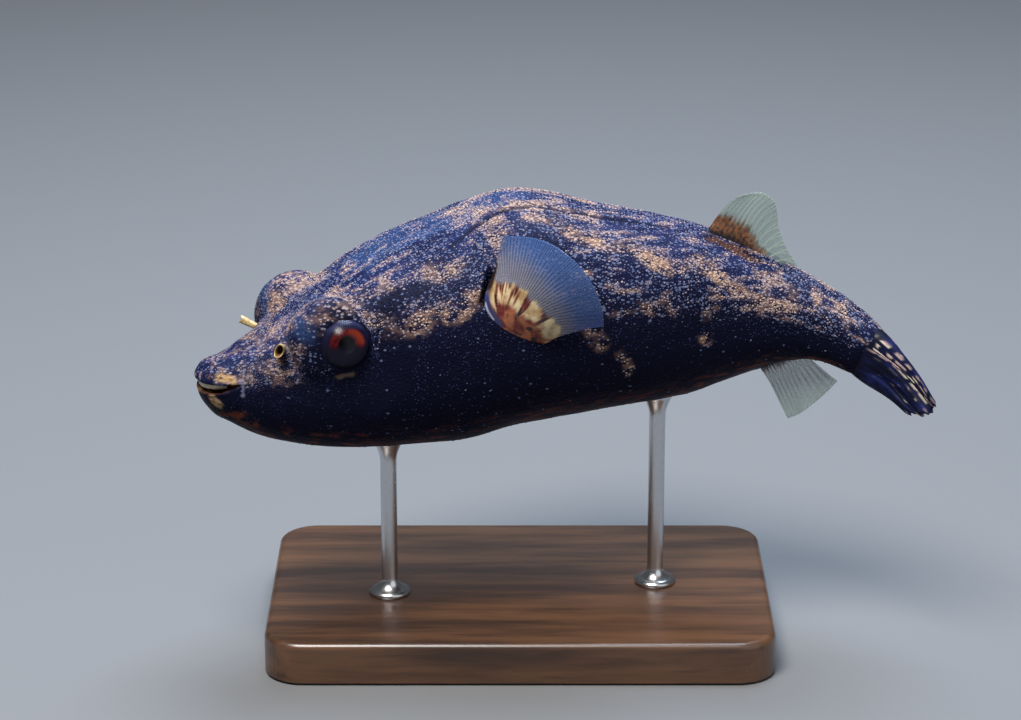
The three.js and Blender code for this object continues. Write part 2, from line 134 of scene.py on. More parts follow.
def fade(x, low, high):
    return 1 - smooth(x, low, high)


def ease(x, low, high, a, b):
    """From a to b as x goes from low to high."""
    return mix(a, b, smooth(x, low, high))


def span(x, start, full, last, end):
    """1 from full to last, sinking to 0 at start and at end."""
    return smooth(x, start, full) * fade(x, last, end)


def stack(*parts):
    """Points or faces, from their parts in order."""
    return np.stack(np.broadcast_arrays(*parts), -1)


def bell(x, width):
    return np.exp(-((x / width) ** 2))


def unit(v):
    return v / np.maximum(np.linalg.norm(v, axis=-1, keepdims=True), 1e-9)


def noise_at(points, size, shift=0.0):
    """Smooth noise from about -1 to 1 at each point, with features of that size."""
    flat = points.reshape(-1, 3) / size + shift
    values = [noise.noise(Vector(p)) for p in flat]
    return np.array(values).reshape(points.shape[:-1])


def station_curve(column):
    """A smooth curve through one measure of the stations, with no overshoot between them."""
    x = STATIONS[:, 0]
    y = STATIONS[:, column]
    rise = np.diff(y) / np.diff(x)
    slope = np.zeros(len(x))
    slope[0] = rise[0]
    slope[-1] = rise[-1]
    before = rise[:-1]
    after = rise[1:]
    same = before * after > 0
    slope[1:-1][same] = 2 * (before * after)[same] / (before + after)[same]

    def at(s):
        i = np.clip(np.searchsorted(x, s) - 1, 0, len(x) - 2)
        step = x[i + 1] - x[i]
        t = np.clip((s - x[i]) / step, 0, 1)
        u = 1 - t
        ends = y[i] * (1 + 2 * t) * u * u + y[i + 1] * t * t * (3 - 2 * t)
        return ends + step * t * u * (slope[i] * u - slope[i + 1] * t)

    return at


width_at = station_curve(1)
back_at = station_curve(2)
belly_at = station_curve(3)

# ---- the swimming curve

SPINE_STEP = 0.25
SPINE_LENGTH = 160


def spine_frame(s):
    """The unit vectors towards the tail, to the fish's left and up, at station s."""
    turn = HEAD_TURN[0] * fade(s, *HEAD_TURN[1:]) - TAIL_TURN[0] * smooth(s, *TAIL_TURN[1:])
    turn = np.radians(turn)
    droop = np.radians(TAIL_DROOP[0] * smooth(s, *TAIL_DROOP[1:]))
    level = np.cos(droop)
    aft = stack(np.cos(turn) * level, np.sin(turn) * level, -np.sin(droop))
    left = stack(np.sin(turn), -np.cos(turn), 0 * turn)
    return aft, left, np.cross(left, aft)


def build_spine():
    s = np.arange(0, SPINE_LENGTH + SPINE_STEP, SPINE_STEP)
    steps = spine_frame(s[:-1] + SPINE_STEP / 2)[0] * SPINE_STEP
    points = np.vstack([np.zeros(3), np.cumsum(steps, 0)])
    level = points[int(LEVEL_S / SPINE_STEP), 1]
    return s, points + np.array([SNOUT_X, -level, AXIS_HEIGHT])


SPINE_S, SPINE = build_spine()


def pose(points):
    """Points of the straight fish, bent into the pose."""
    points = np.asarray(points, float)
    s = np.clip(points[..., 0], 0, SPINE_LENGTH - SPINE_STEP)
    at = np.stack([np.interp(s, SPINE_S, SPINE[:, k]) for k in range(3)], -1)
    aft, left, up = spine_frame(s)
    ahead = (points[..., 0] - s)[..., None]
    return at + aft * ahead + left * points[..., 1:2] + up * points[..., 2:3]


# ---- the body's plain surface


def nose_at(s):
    inside = np.clip(1 - (1 - s / NOSE_ROUND) ** 2, 1e-6, 1)
    return np.where(s < NOSE_ROUND, np.sqrt(inside), 1)


def centre_at(s):
    return (back_at(s) + belly_at(s)) / 2


def half_height_at(s):
    return (back_at(s) - belly_at(s)) / 2


def girth_at(point):
    """The distance of each point from the middle of its section."""
    return np.hypot(point[..., 1], point[..., 2] - centre_at(point[..., 0]))


def on_side(point, side):
    """A point of the left side, or for side -1 its mirror image on the right."""
    return np.array(point) * (1, side, 1)


def body_surface(s, angle):
    """Angle 0 is the left flank and 90 degrees the back."""
    wide = width_at(s) * nose_at(s)
    high = half_height_at(s) * nose_at(s)
    c = np.cos(angle)
    d = np.sin(angle)
    total = np.abs(c / wide) ** SECTION_POWER + np.abs(d / high) ** SECTION_POWER
    swell = LIP_SWELL[2] * bell(s - LIP_SWELL[0], LIP_SWELL[1])
    fold = LIP_FOLD[2] * bell(s - LIP_FOLD[0], LIP_FOLD[1]) * c * c
    radius = total ** (-1 / SECTION_POWER) + swell - fold
    point = stack(s, radius * c, centre_at(s) + radius * d)
    for side in (1, -1):
        centre = on_side(ORBIT_CENTRE, side)
        away = point - centre
        distance = np.linalg.norm(away, axis=-1)
        near = np.maximum(ORBIT_BLEND - np.abs(distance - ORBIT_RADIUS), 0)
        swollen = np.maximum(distance, ORBIT_RADIUS) + near * near / ORBIT_BLEND / 4
        point = centre + away * (swollen / distance)[..., None]
    return point


def body_normals(s, angle):
    """The directions out of that surface."""
    here = body_surface(s, angle)
    along = body_surface(s + NORMAL_STEP, angle) - here
    around = body_surface(s, angle + NORMAL_STEP / 10) - here
    return unit(np.cross(around, along))


def flank_at(s, h, narrowed=1):
    """The distance from the midline to the flank at station s and height h."""
    share = np.minimum(1, np.abs((h - centre_at(s)) / (half_height_at(s) * narrowed)))
    return width_at(s) * narrowed * (1 - share**SECTION_POWER) ** (1 / SECTION_POWER)


# ---- meshes


def grid_faces(rows, columns):
    """The quads of a tube of closed rings, and their corners' places on its UV map."""
    j, k = [a.ravel() for a in np.meshgrid(np.arange(rows - 1), np.arange(columns), indexing="ij")]
    down = stack(j, j, j + 1, j + 1)
    across = stack(k, k + 1, k + 1, k)
    return down * columns + across % columns, stack(across / columns, down / (rows - 1))


def fan_faces(ring, tip):
    return stack(ring, np.roll(ring, -1), tip)


def capped(rows):
    """A tube with a fan of triangles at each end: its points, its faces and their UV places."""
    count = rows.shape[1]
    points = np.vstack([rows.reshape(-1, 3), rows[[0, -1]].mean(1)])
    first = np.arange(count)
    last = first + (len(rows) - 1) * count
    sides, uv = grid_faces(len(rows), count)
    ends = [fan_faces(first[::-1], len(points) - 2), fan_faces(last, len(points) - 1)]
    return points, [sides] + ends, [uv] + [stack(f % count / count, v) for f, v in zip(ends, (0, 1))]


def volume(points, faces):
    total = 0
    for k in range(1, faces.shape[1] - 1):
        a, b, c = points[faces[:, 0]], points[faces[:, k]], points[faces[:, k + 1]]
        total += np.einsum("ij,ij->", a, np.cross(b, c))
    return total


def mesh_piece(name, points, faces, material, nodes=(), uv=None, values=None):
    """One shown piece. faces and uv are lists of arrays, of three or four corners a face."""
    points = np.asarray(points, float).reshape(-1, 3)
    middle = points - points.mean(0)
    if sum(volume(middle, f) for f in faces) < 0:
        faces = [f[:, ::-1] for f in faces]
        uv = [u[:, ::-1] for u in uv] if uv else None
    mesh = bpy.data.meshes.new(name)
    mesh.vertices.add(len(points))
    mesh.vertices.foreach_set("co", (points * MM).ravel())
    corners = np.concatenate([f.ravel() for f in faces])
    sizes = np.concatenate([np.full(len(f), f.shape[1]) for f in faces])
    mesh.loops.add(len(corners))
    mesh.loops.foreach_set("vertex_index", corners)
    mesh.polygons.add(len(sizes))
    mesh.polygons.foreach_set("loop_start", np.concatenate([[0], np.cumsum(sizes)[:-1]]))
    mesh.polygons.foreach_set("use_smooth", np.ones(len(sizes), bool))
    mesh.update(calc_edges=True)
    if uv:
        layer = mesh.uv_layers.new(name="OFBake")
        layer.uv.foreach_set("vector", np.concatenate([u.reshape(-1, 2) for u in uv]).ravel())
    for key, value in (values or {}).items():
        value = np.asarray(value, float).ravel()
        kind, field = ("FLOAT", "value") if len(value) == len(points) else ("FLOAT_VECTOR", "vector")
        mesh.attributes.new(key, kind, "POINT").data.foreach_set(field, value)
    mesh.materials.append(material)
    piece = bpy.data.objects.new(name, mesh)
    bpy.context.scene.collection.objects.link(piece)
    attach(piece, "root")
    if nodes:
        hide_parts(*nodes)
    return piece


def node_box(node):
    """A CAD node's lowest and highest corners."""
    return [np.array(corner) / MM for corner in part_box(node)]


# ---- materials


class Shader:
    """A material's node tree, built from the shader back to its textures."""

    def __init__(self, name):
        self.material = bpy.data.materials.new(name)
        self.material.use_nodes = True
        self.tree = self.material.node_tree
        self.surface = self.tree.nodes["Principled BSDF"]

    def put(self, socket, value):
        if isinstance(value, bpy.types.NodeSocket):
            self.tree.links.new(value, socket)
        elif hasattr(value, "__len__") and len(value) == 3 and socket.type == "RGBA":
            socket.default_value = (*value, 1)
        else:
            socket.default_value = value

    def set(self, **values):
        """Sets sockets of the shader, and gives back the finished material."""
        for key, value in values.items():
            self.put(self.surface.inputs[key.replace("_", " ")], value)
        return self.material

    def node(self, kind, inputs=(), output=0, **settings):
        made = self.tree.nodes.new(kind)
        for key, value in settings.items():
            setattr(made, key, value)
        for key, value in dict(inputs).items():
            self.put(made.inputs[key], value)
        return made.outputs[output]

    def field(self, name):
        """A value that the mesh carries at its points."""
        return self.node("ShaderNodeAttribute", output="Fac", attribute_name=name)

    def place(self, stretch=(1, 1, 1)):
        """The point's place on the straight fish, in millimetres."""
        vector = self.node("ShaderNodeAttribute", output="Vector", attribute_name="place")
        return self.node("ShaderNodeMapping", {"Vector": vector, "Scale": stretch})

    def math(self, operation, a, b, c=0.0):
        return self.node("ShaderNodeMath", {0: a, 1: b, 2: c}, operation=operation)

    def step(self, value, low, high, start=0.0, end=1.0):
        wanted = {"Value": value, "From Min": low, "From Max": high, "To Min": start, "To Max": end}
        return self.node("ShaderNodeMapRange", wanted, interpolation_type="SMOOTHSTEP")

    def times(self, a, b):
        return self.math("MULTIPLY", a, b)

    def blend(self, amount, a, b):
        colours = {"Factor": amount, 6: a, 7: b}  # its inputs 6 and 7 are the ones for colours
        return self.node("ShaderNodeMix", colours, output=2, data_type="RGBA")

    def ramp(self, value, low, high, a, b):
        """Colour a where the value is under low, turning to b above high."""
        return self.blend(self.step(value, low, high), a, b)

    def paint(self, colour, **layers):
        """Lays a colour over this one where each field is 1, in turn."""
        for field, over in layers.items():
            colour = self.blend(self.field(field), colour, over)
        return colour

    def noise(self, vector, scale, detail=2.0, rough=0.5):
        wanted = {"Vector": vector, "Scale": scale, "Detail": detail, "Roughness": rough}
        return self.node("ShaderNodeTexNoise", wanted)

    def cells(self, vector, scale, output="Distance"):
        return self.node("ShaderNodeTexVoronoi", {"Vector": vector, "Scale": scale}, output)

    def bump(self, height, distance, strength):
        wanted = {"Height": height, "Distance": distance * MM, "Strength": strength}
        self.put(self.surface.inputs["Normal"], self.node("ShaderNodeBump", wanted))


NAVY = (0.0030, 0.0034, 0.0120)
INDIGO = (0.009, 0.014, 0.058)
BLUE = (0.018, 0.042, 0.115)
STEEL_BLUE = (0.090, 0.115, 0.205)
TAN = (0.195, 0.115, 0.080)
CREAM = (0.42, 0.295, 0.215)
LAVENDER = (0.24, 0.25, 0.42)
RUST = (0.10, 0.026, 0.014)
OCHRE = (0.30, 0.18, 0.065)
CELL_SCALE = 2.0  # of the skin's pale spots, to the millimetre


def skin_material():
    m = Shader("skin")
    place = m.place((0.6, 1, 1))
    mottle = m.noise(place, 0.7, 4.0, 0.62)
    sand = m.field("sand")
    # painted sheen: the upper body turns indigo and the blue marks bluer, standing for the gloss of the
    # light from above
    colour = m.paint(NAVY, sheen=INDIGO, blue=BLUE)
    colour = m.blend(m.times(m.field("rust"), m.step(mottle, 0.4, 0.6)), colour, RUST)
    colour = m.blend(m.times(sand, m.step(mottle, 0.42, 0.60, 0.0, 0.85)), colour, TAN)
    dots = m.step(m.cells(place, CELL_SCALE), 0.28, 0.52, 1.0, 0.0)
    chance = m.node("ShaderNodeSeparateColor", {"Color": m.cells(place, CELL_SCALE, "Color")})
    wanted = m.math("MULTIPLY_ADD", sand, 0.55, m.field("speckle"))
    shown = m.times(dots, m.math("LESS_THAN", chance, wanted))
    colour = m.blend(m.times(shown, 0.75), colour, m.blend(sand, STEEL_BLUE, CREAM))
    colour = m.paint(colour, brown=m.ramp(mottle, 0.42, 0.58, NAVY, (0.048, 0.019, 0.009)))
    ochre = m.times(m.field("ochre"), m.step(mottle, 0.34, 0.50))
    colour = m.blend(ochre, colour, m.ramp(mottle, 0.45, 0.62, OCHRE, CREAM))
    colour = m.paint(colour, pale=LAVENDER, mouth=(0.12, 0.050, 0.020))
    m.bump(m.math("MULTIPLY_ADD", dots, 0.7, m.noise(m.place(), 1.6, 3.0)), 0.08, 0.9)
    return m.set(Base_Color=colour, Roughness=0.5, Specular_IOR_Level=0.035)


def granule_material():
    m = Shader("granules")
    pale = m.paint(STEEL_BLUE, warm=CREAM, rust=(0.17, 0.065, 0.035))
    return m.set(Base_Color=m.paint(INDIGO, tone=pale), Roughness=0.5, Specular_IOR_Level=0.2)


def membrane(m, colour, alpha):
    return m.set(Base_Color=colour, Alpha=alpha, Roughness=0.35, Specular_IOR_Level=0.5)


def pectoral_material():
    m = Shader("pectoral_fin")
    out = m.field("out")
    flesh = m.field("flesh")
    ray = m.field("ray")
    mottle = m.noise(m.place(), 0.35, 3.0, 0.6)
    clear = m.ramp(out, 0.05, 0.85, (0.16, 0.16, 0.22), (0.034, 0.095, 0.29))
    clear = m.blend(m.times(ray, m.step(out, 0.0, 0.9, 0.55, 0.15)), clear, (0.42, 0.42, 0.46))
    meat = m.ramp(mottle, 0.40, 0.58, (0.11, 0.007, 0.007), (0.34, 0.105, 0.040))
    pale = m.ramp(mottle, 0.35, 0.6, (0.27, 0.17, 0.075), (0.50, 0.41, 0.25))
    # gap colours the dark gaps in the lobe's pattern, and also the painted shade on the root sunk in the
    # gill slit
    meat = m.paint(meat, cream=pale, gap=(0.016, 0.008, 0.009))
    rim = m.field("rim")
    meat = m.ramp(rim, 0.05, 0.5, meat, (0.022, 0.027, 0.085))
    meat = m.ramp(rim, 0.86, 1.0, meat, (0.30, 0.31, 0.42))
    solid = m.math("MAXIMUM", flesh, m.math("MULTIPLY_ADD", ray, 0.25, 0.48))
    m.bump(m.times(mottle, flesh), 0.3, 0.7)
    return membrane(m, m.blend(flesh, clear, meat), solid)


def midline_fin_material(name, meat, dark, density):
    """A clear fin whose base is fleshy, as solid there as the share "density"."""
    m = Shader(name)
    ray = m.field("ray")
    flesh = m.field("flesh")
    grain = m.noise(m.place(), 1.4, 4.0, 0.65)
    fuzzy = m.math("MULTIPLY_ADD", grain, 0.3, m.field("out"))
    shade = m.blend(m.step(grain, 0.42, 0.58, 0.35, 1.0), dark, meat)
    shade = m.ramp(fuzzy, 0.27, 0.42, dark, shade)
    colour = m.blend(ray, (0.15, 0.22, 0.20), (0.27, 0.34, 0.30))
    solid = m.math("MAXIMUM", m.times(flesh, density), m.math("MULTIPLY_ADD", ray, 0.25, 0.38))
    return membrane(m, m.blend(flesh, colour, shade), solid)


def caudal_material():
    m = Shader("caudal_fin")
    ray = m.field("ray")
    grain = m.noise(m.place((0.25, 1, 1)), 0.9, 3.0, 0.6)
    colour = m.ramp(grain, 0.4, 0.65, (0.003, 0.004, 0.016), (0.008, 0.012, 0.062))
    colour = m.ramp(m.field("out"), 0.18, 0.42, NAVY, colour)
    lit = m.times(m.field("light"), m.step(ray, 0.25, 0.7))
    warm = m.ramp(grain, 0.45, 0.55, (0.54, 0.50, 0.40), (0.46, 0.33, 0.30))
    m.bump(grain, 0.15, 0.5)
    return m.set(Base_Color=m.blend(lit, colour, warm), Roughness=0.45, Specular_IOR_Level=0.1)


def plain_material(name, colour, shade, size, roughness, metallic=0.0):
    """One colour, darkened by the share "shade" in grains of that size in millimetres."""
    m = Shader(name)
    grain = m.noise(m.node("ShaderNodeTexCoord", output="Object"), 1 / (size * MM), 3.0)
    darker = tuple((1 - shade) * c for c in colour)
    grained = m.ramp(grain, 0.35, 0.65, darker, colour)
    return m.set(Base_Color=grained, Roughness=roughness, Metallic=metallic)


def wood_material():
    m = Shader("stand_wood")
    along = m.node("ShaderNodeTexCoord", output="Object")
    warped = m.node("ShaderNodeMapping", {"Vector": along, "Scale": (9, 90, 90)})
    rings = m.noise(warped, 1.6, 6.0, 0.62)
    pores = m.noise(m.node("ShaderNodeMapping", {"Vector": along, "Scale": (60, 900, 900)}), 1.0, 3.0)
    colour = m.ramp(rings, 0.36, 0.66, (0.030, 0.014, 0.008), (0.105, 0.048, 0.022))
    colour = m.blend(m.step(pores, 0.55, 0.75, 0.0, 0.5), colour, (0.018, 0.009, 0.005))
    m.bump(pores, 0.05, 0.3)
    return m.set(Base_Color=colour, Roughness=0.36, Coat_Weight=0.3, Coat_Roughness=0.25)


def iris_material():
    m = Shader("iris")
    radial = m.field("radial")
    fibres = m.noise(m.place(), 1.5, 4.0, 0.65)
    red = m.ramp(fibres, 0.35, 0.65, (0.030, 0.002, 0.004), (0.115, 0.006, 0.006))
    red = m.paint(red, side=(0.18, 0.022, 0.008))
    red = m.blend(m.step(radial, 0.32, 0.58, 1.0, 0.0), red, (0.002, 0.002, 0.004))
    red = m.ramp(radial, 0.78, 0.92, red, (0.006, 0.006, 0.022))
    # painted shade darkens the lower half of the iris, and a painted lavender-blue highlight lies along its
    # top rim
    red = m.paint(red, shade=(0.003, 0.003, 0.009), lit=(0.013, 0.014, 0.045))
    return m.set(Base_Color=red, Roughness=0.6, Specular_IOR_Level=0.03)


def cornea_material():
    m = Shader("cornea")
    clear = m.node("ShaderNodeBsdfTransparent", {"Color": (1, 1, 1)})
    gloss = m.node("ShaderNodeBsdfGlossy", {"Color": (0.12, 0.12, 0.12), "Roughness": 0.24})
    both = m.node("ShaderNodeMixShader", {0: 0.09, 1: clear, 2: gloss})
    m.put(m.tree.nodes["Material Output"].inputs["Surface"], both)
    return m.material


# ---- the skin's shape

AROUND = 248  # columns round the body, from the belly over the left flank and the back
MOUTH_RINGS = 10
SNOUT_END = 12.0
SNOUT_RINGS = 34
RINGS = (  # up to station, millimetres apart
    (34, 0.25),
    (48, 0.42),
    (58, 0.30),
    (108, 0.46),
    (BODY_END - 0.2, 0.42),
)
CLOSING_RINGS = 12
TAIL_TAPER = 5.5  # how far the skin thins out over the root of the caudal fin


def mouth_line(s):
    return mix(MOUTH_FRONT, MOUTH_CORNER, np.clip(s / MOUTH_DEPTH, 0, 1))


def lip_line(up):
    """One lip's edge from the mouth's left corner to the middle of its front, as (s, angle)."""
    s = np.linspace(MOUTH_DEPTH, 0.05, 600)
    gape = mix(MOUTH_GAPE, MOUTH_CORNER_GAPE, np.clip(s / MOUTH_DEPTH, 0, 1)) / 2
    h = mouth_line(s) + up * gape
    q = flank_at(s, h, nose_at(s))
    s, q, h = s[q > 0], q[q > 0], h[q > 0]
    s, q, h = np.append(s, s[-1]), np.append(q, 0), np.append(h, h[-1])
    length = np.concatenate([[0], np.cumsum(np.hypot(np.hypot(np.diff(s), np.diff(q)), np.diff(h)))])
    return length / length[-1], s, np.arctan2(h - centre_at(s), q)


def mouth_rim(angles):
    """Where each column of the skin meets the edge of the lips, as (s, angle), and its share of
    the way round the mouth as an angle that is 0 at the left corner and half a turn at the right."""
    upper, lower = lip_line(1), lip_line(-1)
    corner = (upper[2][0] + lower[2][0]) / 2
    turn = np.mod(angles - corner, 2 * math.pi)
    top = math.pi - 2 * corner
    on_top = turn < top
    share = np.where(on_top, turn / top, (turn - top) / (2 * math.pi - top))
    along = 1 - np.abs(1 - 2 * share)
    s = np.where(on_top, np.interp(along, *upper[:2]), np.interp(along, *lower[:2]))
    left = np.where(on_top, np.interp(along, upper[0], upper[2]), np.interp(along, lower[0], lower[2]))
    rim = np.where((share < 0.5) == on_top, left, math.pi - left)
    rim = angles + (rim - angles + math.pi) % (2 * math.pi) - math.pi
    return s, rim, math.pi * np.where(on_top, share, 1 + share)


def skin_grid():
    """The station and angle of every point of the skin outside the mouth, ring by ring."""
    angles = -math.pi / 2 + 2 * math.pi * np.arange(AROUND) / AROUND
    rim_s, rim_angle, rim_turn = mouth_rim(angles)
    share = (np.linspace(0, 1, SNOUT_RINGS) ** 1.35)[:, None]
    s = mix(rim_s, SNOUT_END, share)
    angle = ease(share, 0, 1, rim_angle, angles)
    start = SNOUT_END
    for end, gap in RINGS:
        steps = int(round((end - start) / gap))
        rings = start + (end - start) * np.arange(1, steps + 1)[:, None] / steps
        s = np.vstack([s, rings + 0 * angles])
        angle = np.vstack([angle, 0 * rings + angles])
        start = end
    return s, angle, rim_turn


def normals_of(points):
    along = np.gradient(points, axis=0)
    around = np.roll(points, -1, 1) - np.roll(points, 1, 1)
    normal = unit(np.cross(around, along))
    outward = points - points.mean(1, keepdims=True)
    return normal * np.sign(np.einsum("jki,jki->", normal, outward))


def side_rise(point):
    """Degrees above the middle of the flank, alike on both sides."""
    return np.degrees(np.arctan2(point[..., 2] - centre_at(point[..., 0]), np.abs(point[..., 1])))


def gill_places(s, h):
    """How far along the gill opening a point is, from 0 to 1, and how far behind it."""
    top = np.array(GILL_TOP)
    way = np.array(GILL_FOOT) - top
    length = np.hypot(*way)
    along = ((s - top[0]) * way[0] + (h - top[1]) * way[1]) / length**2
    behind = ((s - top[0]) * -way[1] + (h - top[1]) * way[0]) / length
    return along, behind


def crease_distance(point):
    """How far above the fold that runs below the ridge of the back, and how much of it is there."""
    s = point[..., 0]
    crease = np.interp(s, [46, 52, 58, 66, 78, 88], [60, 68, 72.5, 75, 76, 79])
    here = span(s, 46, 52, 78, 88)
    apart = np.radians(side_rise(point) - crease) * girth_at(point)
    apart = apart + 0.2 * np.sin(s * 1.1) * np.sin(s * 0.37)
    return np.where(here > 0, apart, 99.0), here


def feeler_root(side):
    s, q, below = FEELER_ROOT
    return np.array([s, side * q, back_at(s) + below])


def relief(point):
    """How far the skin stands out of its plain surface."""
    s, q, h = np.moveaxis(point, -1, 0)
    out = -SKIN_INSET + 0.14 * noise_at(point, 7.0) + 0.07 * noise_at(point * (0.6, 1, 1), 2.2, 5.0)

    # the gill openings, with a low rim ahead of them
    along, behind = gill_places(s, h)
    window = span(along, -0.12, 0.1, 0.9, 1.12)
    out -= 2.3 * window * fade(np.abs(behind), 0.45, 1.1)
    out += 0.35 * window * bell(behind + 1.5, 0.7)

    # the crease, with a low fold above it
    apart, here = crease_distance(point)
    out -= 0.5 * bell(apart, 0.4) * here
    out += 0.2 * bell(apart - 1.4, 0.9) * here

    # the bases of the dorsal and the anal fin
    for start, end, level in ((93.5, 107.5, 1), (103.5, 114, -1)):
        window = span(s, start - 1, start + 1.5, end - 1.5, end + 1)
        out += 0.45 * window * bell(q, 1.7) * (np.sign(h) == level)

    # mounds under the nostril feelers, and wrinkles behind the lips
    for side in (1, -1):
        out += 0.35 * fade(np.linalg.norm(point - feeler_root(side), axis=-1), 1.6, 3.0)
    wrinkles = 0.10 * np.sin(s * 2.1 + 3 * noise_at(point, 6.0, 9.0)) * bell(s - 8.5, 2.2)
    return out + wrinkles * smooth(side_rise(point), -60, 20)


def eyelids(point, side):
    """Opens the skin round an eye: it dips under the eyeball inside a rounded rim."""
    centre = on_side(EYE_CENTRE, side)
    axis = eye_axis(side)
    away = point - centre
    distance = np.linalg.norm(away, axis=-1)
    off = np.degrees(np.arccos(np.clip((away @ axis) / np.maximum(distance, 1e-6), -1, 1)))
    lid = ease(off, 42, 61, LID_DEEP, EYE_RADIUS + 0.3)
    wanted = ease(off, 60, 88, lid, distance) - 0.14 * bell(off - 74, 3.5)
    near = (distance < 14) & (off < 100)
    wanted = np.where(near, wanted, distance)
    return centre + away * (wanted / np.maximum(distance, 1e-6))[..., None], np.where(near, off, 180)


def eye_axis(side):
    level = math.cos(EYE_TILT_UP)
    return np.array([
        -math.sin(EYE_TILT_FORWARD) * level,
        side * math.cos(EYE_TILT_FORWARD) * level,
        math.sin(EYE_TILT_UP),
    ])


def mouth_rings(rim, turn):
    """The inside of the mouth, from a pocket behind the beak out to just inside the lips."""
    s, wide, high = MOUTH_POCKET
    pocket = stack(s, wide * np.cos(turn), MOUTH_FRONT + high * np.sin(turn))
    shares = np.arange(MOUTH_RINGS) / MOUTH_RINGS
    return np.array([mix(pocket, rim, share**1.3) for share in shares])


def closing_rings(last):
    """The skin's end, which thins out over the root of the caudal fin."""
    middle = last.mean(0)
    rings = []
    for share in np.arange(1, CLOSING_RINGS + 1) / CLOSING_RINGS:
        narrowed = (1, ease(share, 0, 0.85, 1, 0.2), mix(1, 0.8, share))
        rings.append(middle + (last - middle) * narrowed + (TAIL_TAPER * share, 0, 0))
    return np.array(rings)


def build_skin():
    """The skin's points, their degrees off the nearer eye's axis and how far they are in the mouth."""
    s, angle, turn = skin_grid()
    plain = body_surface(s, angle)
    below = mouth_line(s) - plain[..., 2]
    plain[..., 0] += JAW_SET_BACK * smooth(below, 0.2, 1.6) * fade(s, 1.5, 7)
    normal = body_normals(s, angle)
    from_rim = np.linalg.norm(plain - plain[0], axis=-1)
    lip = np.clip(1 - from_rim / LIP_ROUND, 0, 1)
    out = relief(plain) - LIP_ROUND * (1 - np.sqrt(1 - lip**2)) * (s < 9)
    point = plain + normal * out[..., None]
    point, left_off = eyelids(point, 1)
    point, right_off = eyelids(point, -1)
    count = len(point)
    point = np.vstack([mouth_rings(point[0], turn), point, closing_rings(point[-1])])
    eye_off = np.full(point.shape[:2], 180.0)
    eye_off[MOUTH_RINGS:MOUTH_RINGS + count] = np.minimum(left_off, right_off)
    in_mouth = np.zeros(point.shape[:2])
    in_mouth[:MOUTH_RINGS] = 1
    in_mouth[MOUTH_RINGS] = 0.6
    return point, eye_off, in_mouth


# ---- the skin's markings

MARKINGS = (
    # kind, half width, strength, (station, degrees above the flank's middle) along it
    ("sand", 1.5, 0.9, ((28, 26), (32, 25), (38, 27), (44, 27), (49, 27))),  # behind the eye
    ("sand", 1.6, 0.7, ((22, 60), (28, 57), (34, 52), (40, 50), (46, 47))),  # over the nape
    ("sand", 1.3, 0.8, ((55, 68), (56, 62), (56, 52), (57, 46))),  # above the fin
    ("sand", 1.8, 0.9, ((50, 84), (56, 79), (62, 77), (68, 74), (74, 76))),  # the hump
    ("sand", 1.6, 0.8, ((62, 66), (66, 60), (70, 55), (75, 54))),  # high on the trunk
    ("sand", 1.7, 1.0, ((73, 54), (78, 53), (82, 49), (86, 45), (90, 46), (94, 48), (99, 42))),
    ("sand", 1.2, 0.7, ((101, 40), (104, 36), (108, 31), (112, 30))),
    ("sand", 1.1, 0.7, ((84, 17), (87, 14))),  # spots on the flank
    ("sand", 1.0, 0.8, ((73.5, 3), (76, 0))),
    ("sand", 0.8, 0.7, ((78.5, -8), (80, -13))),
    ("sand", 0.8, 0.6, ((80.5, -17), (81, -22))),
    ("sand", 1.0, 0.9, ((95, -4), (97, -6))),
    ("sand", 0.9, 0.7, ((110, 72), (111, 55), (112, 40))),  # bars on the tail
    ("sand", 0.8, 0.8, ((115.5, 74), (116.5, 55))),
    ("sand", 0.8, 0.8, ((120, 80), (121.5, 62), (122, 45))),
    ("sand", 1.6, 0.75, ((12, 78), (17, 68), (21, 66), (25, 72))),  # the snout and the brow
    ("sand", 0.8, 0.8, ((20, 46), (22, 53), (25, 55), (28.5, 47), (30, 38))),
    ("sand", 0.9, 0.6, ((9, 40), (12, 30), (14.5, 22))),
    ("ochre", 0.7, 0.9, ((3.4, 33), (4.6, 30), (5.4, 26))),  # the corner of the upper lip
    ("ochre", 0.42, 0.26, ((22.3, 11.4), (24.6, 10.0))),  # under the eye
    ("ochre", 0.7, 0.6, ((2.6, -16), (3.8, -21))),  # the chin
    ("pale", 0.26, 0.4, ((6.9, 4), (7.1, 16), (6.9, 28))),  # the fold behind the lips
    ("rust", 1.3, 1.0, ((6.6, -36), (8.4, -42))),
    ("brown", 1.1, 1.0, ((95, 80), (99, 78), (104, 79))),  # beside the dorsal fin
    ("brown", 0.5, 0.8, ((13.6, 50), (14.3, 40))),  # under the nostril
    ("blue", 1.4, 0.55, ((17, 56), (17.8, 48))),  # ahead of the eye: painted blue sheen
    ("blue", 2.6, 0.55, ((33, 86), (44, 83), (54, 85), (60, 88))),  # along the ridge of the back: painted blue sheen
    ("bare", 2.2, 0.35, ((33, 88), (44, 86), (54, 87), (60, 89))),
    ("dark", 2.2, 1.0, ((31, 50), (35, 46), (38, 43))),
    ("dark", 1.8, 0.8, ((60, 48), (66, 42), (70, 36))),
    ("dark", 2.4, 1.0, ((26, 18), (21, 8), (24, -10), (29, 2))),  # round the eye
    ("dark", 1.8, 1.0, ((18.3, 34), (18.6, 20), (20, 10))),
    ("dark", 1.1, 1.0, ((30, 34), (30.6, 22), (29, 12))),
)


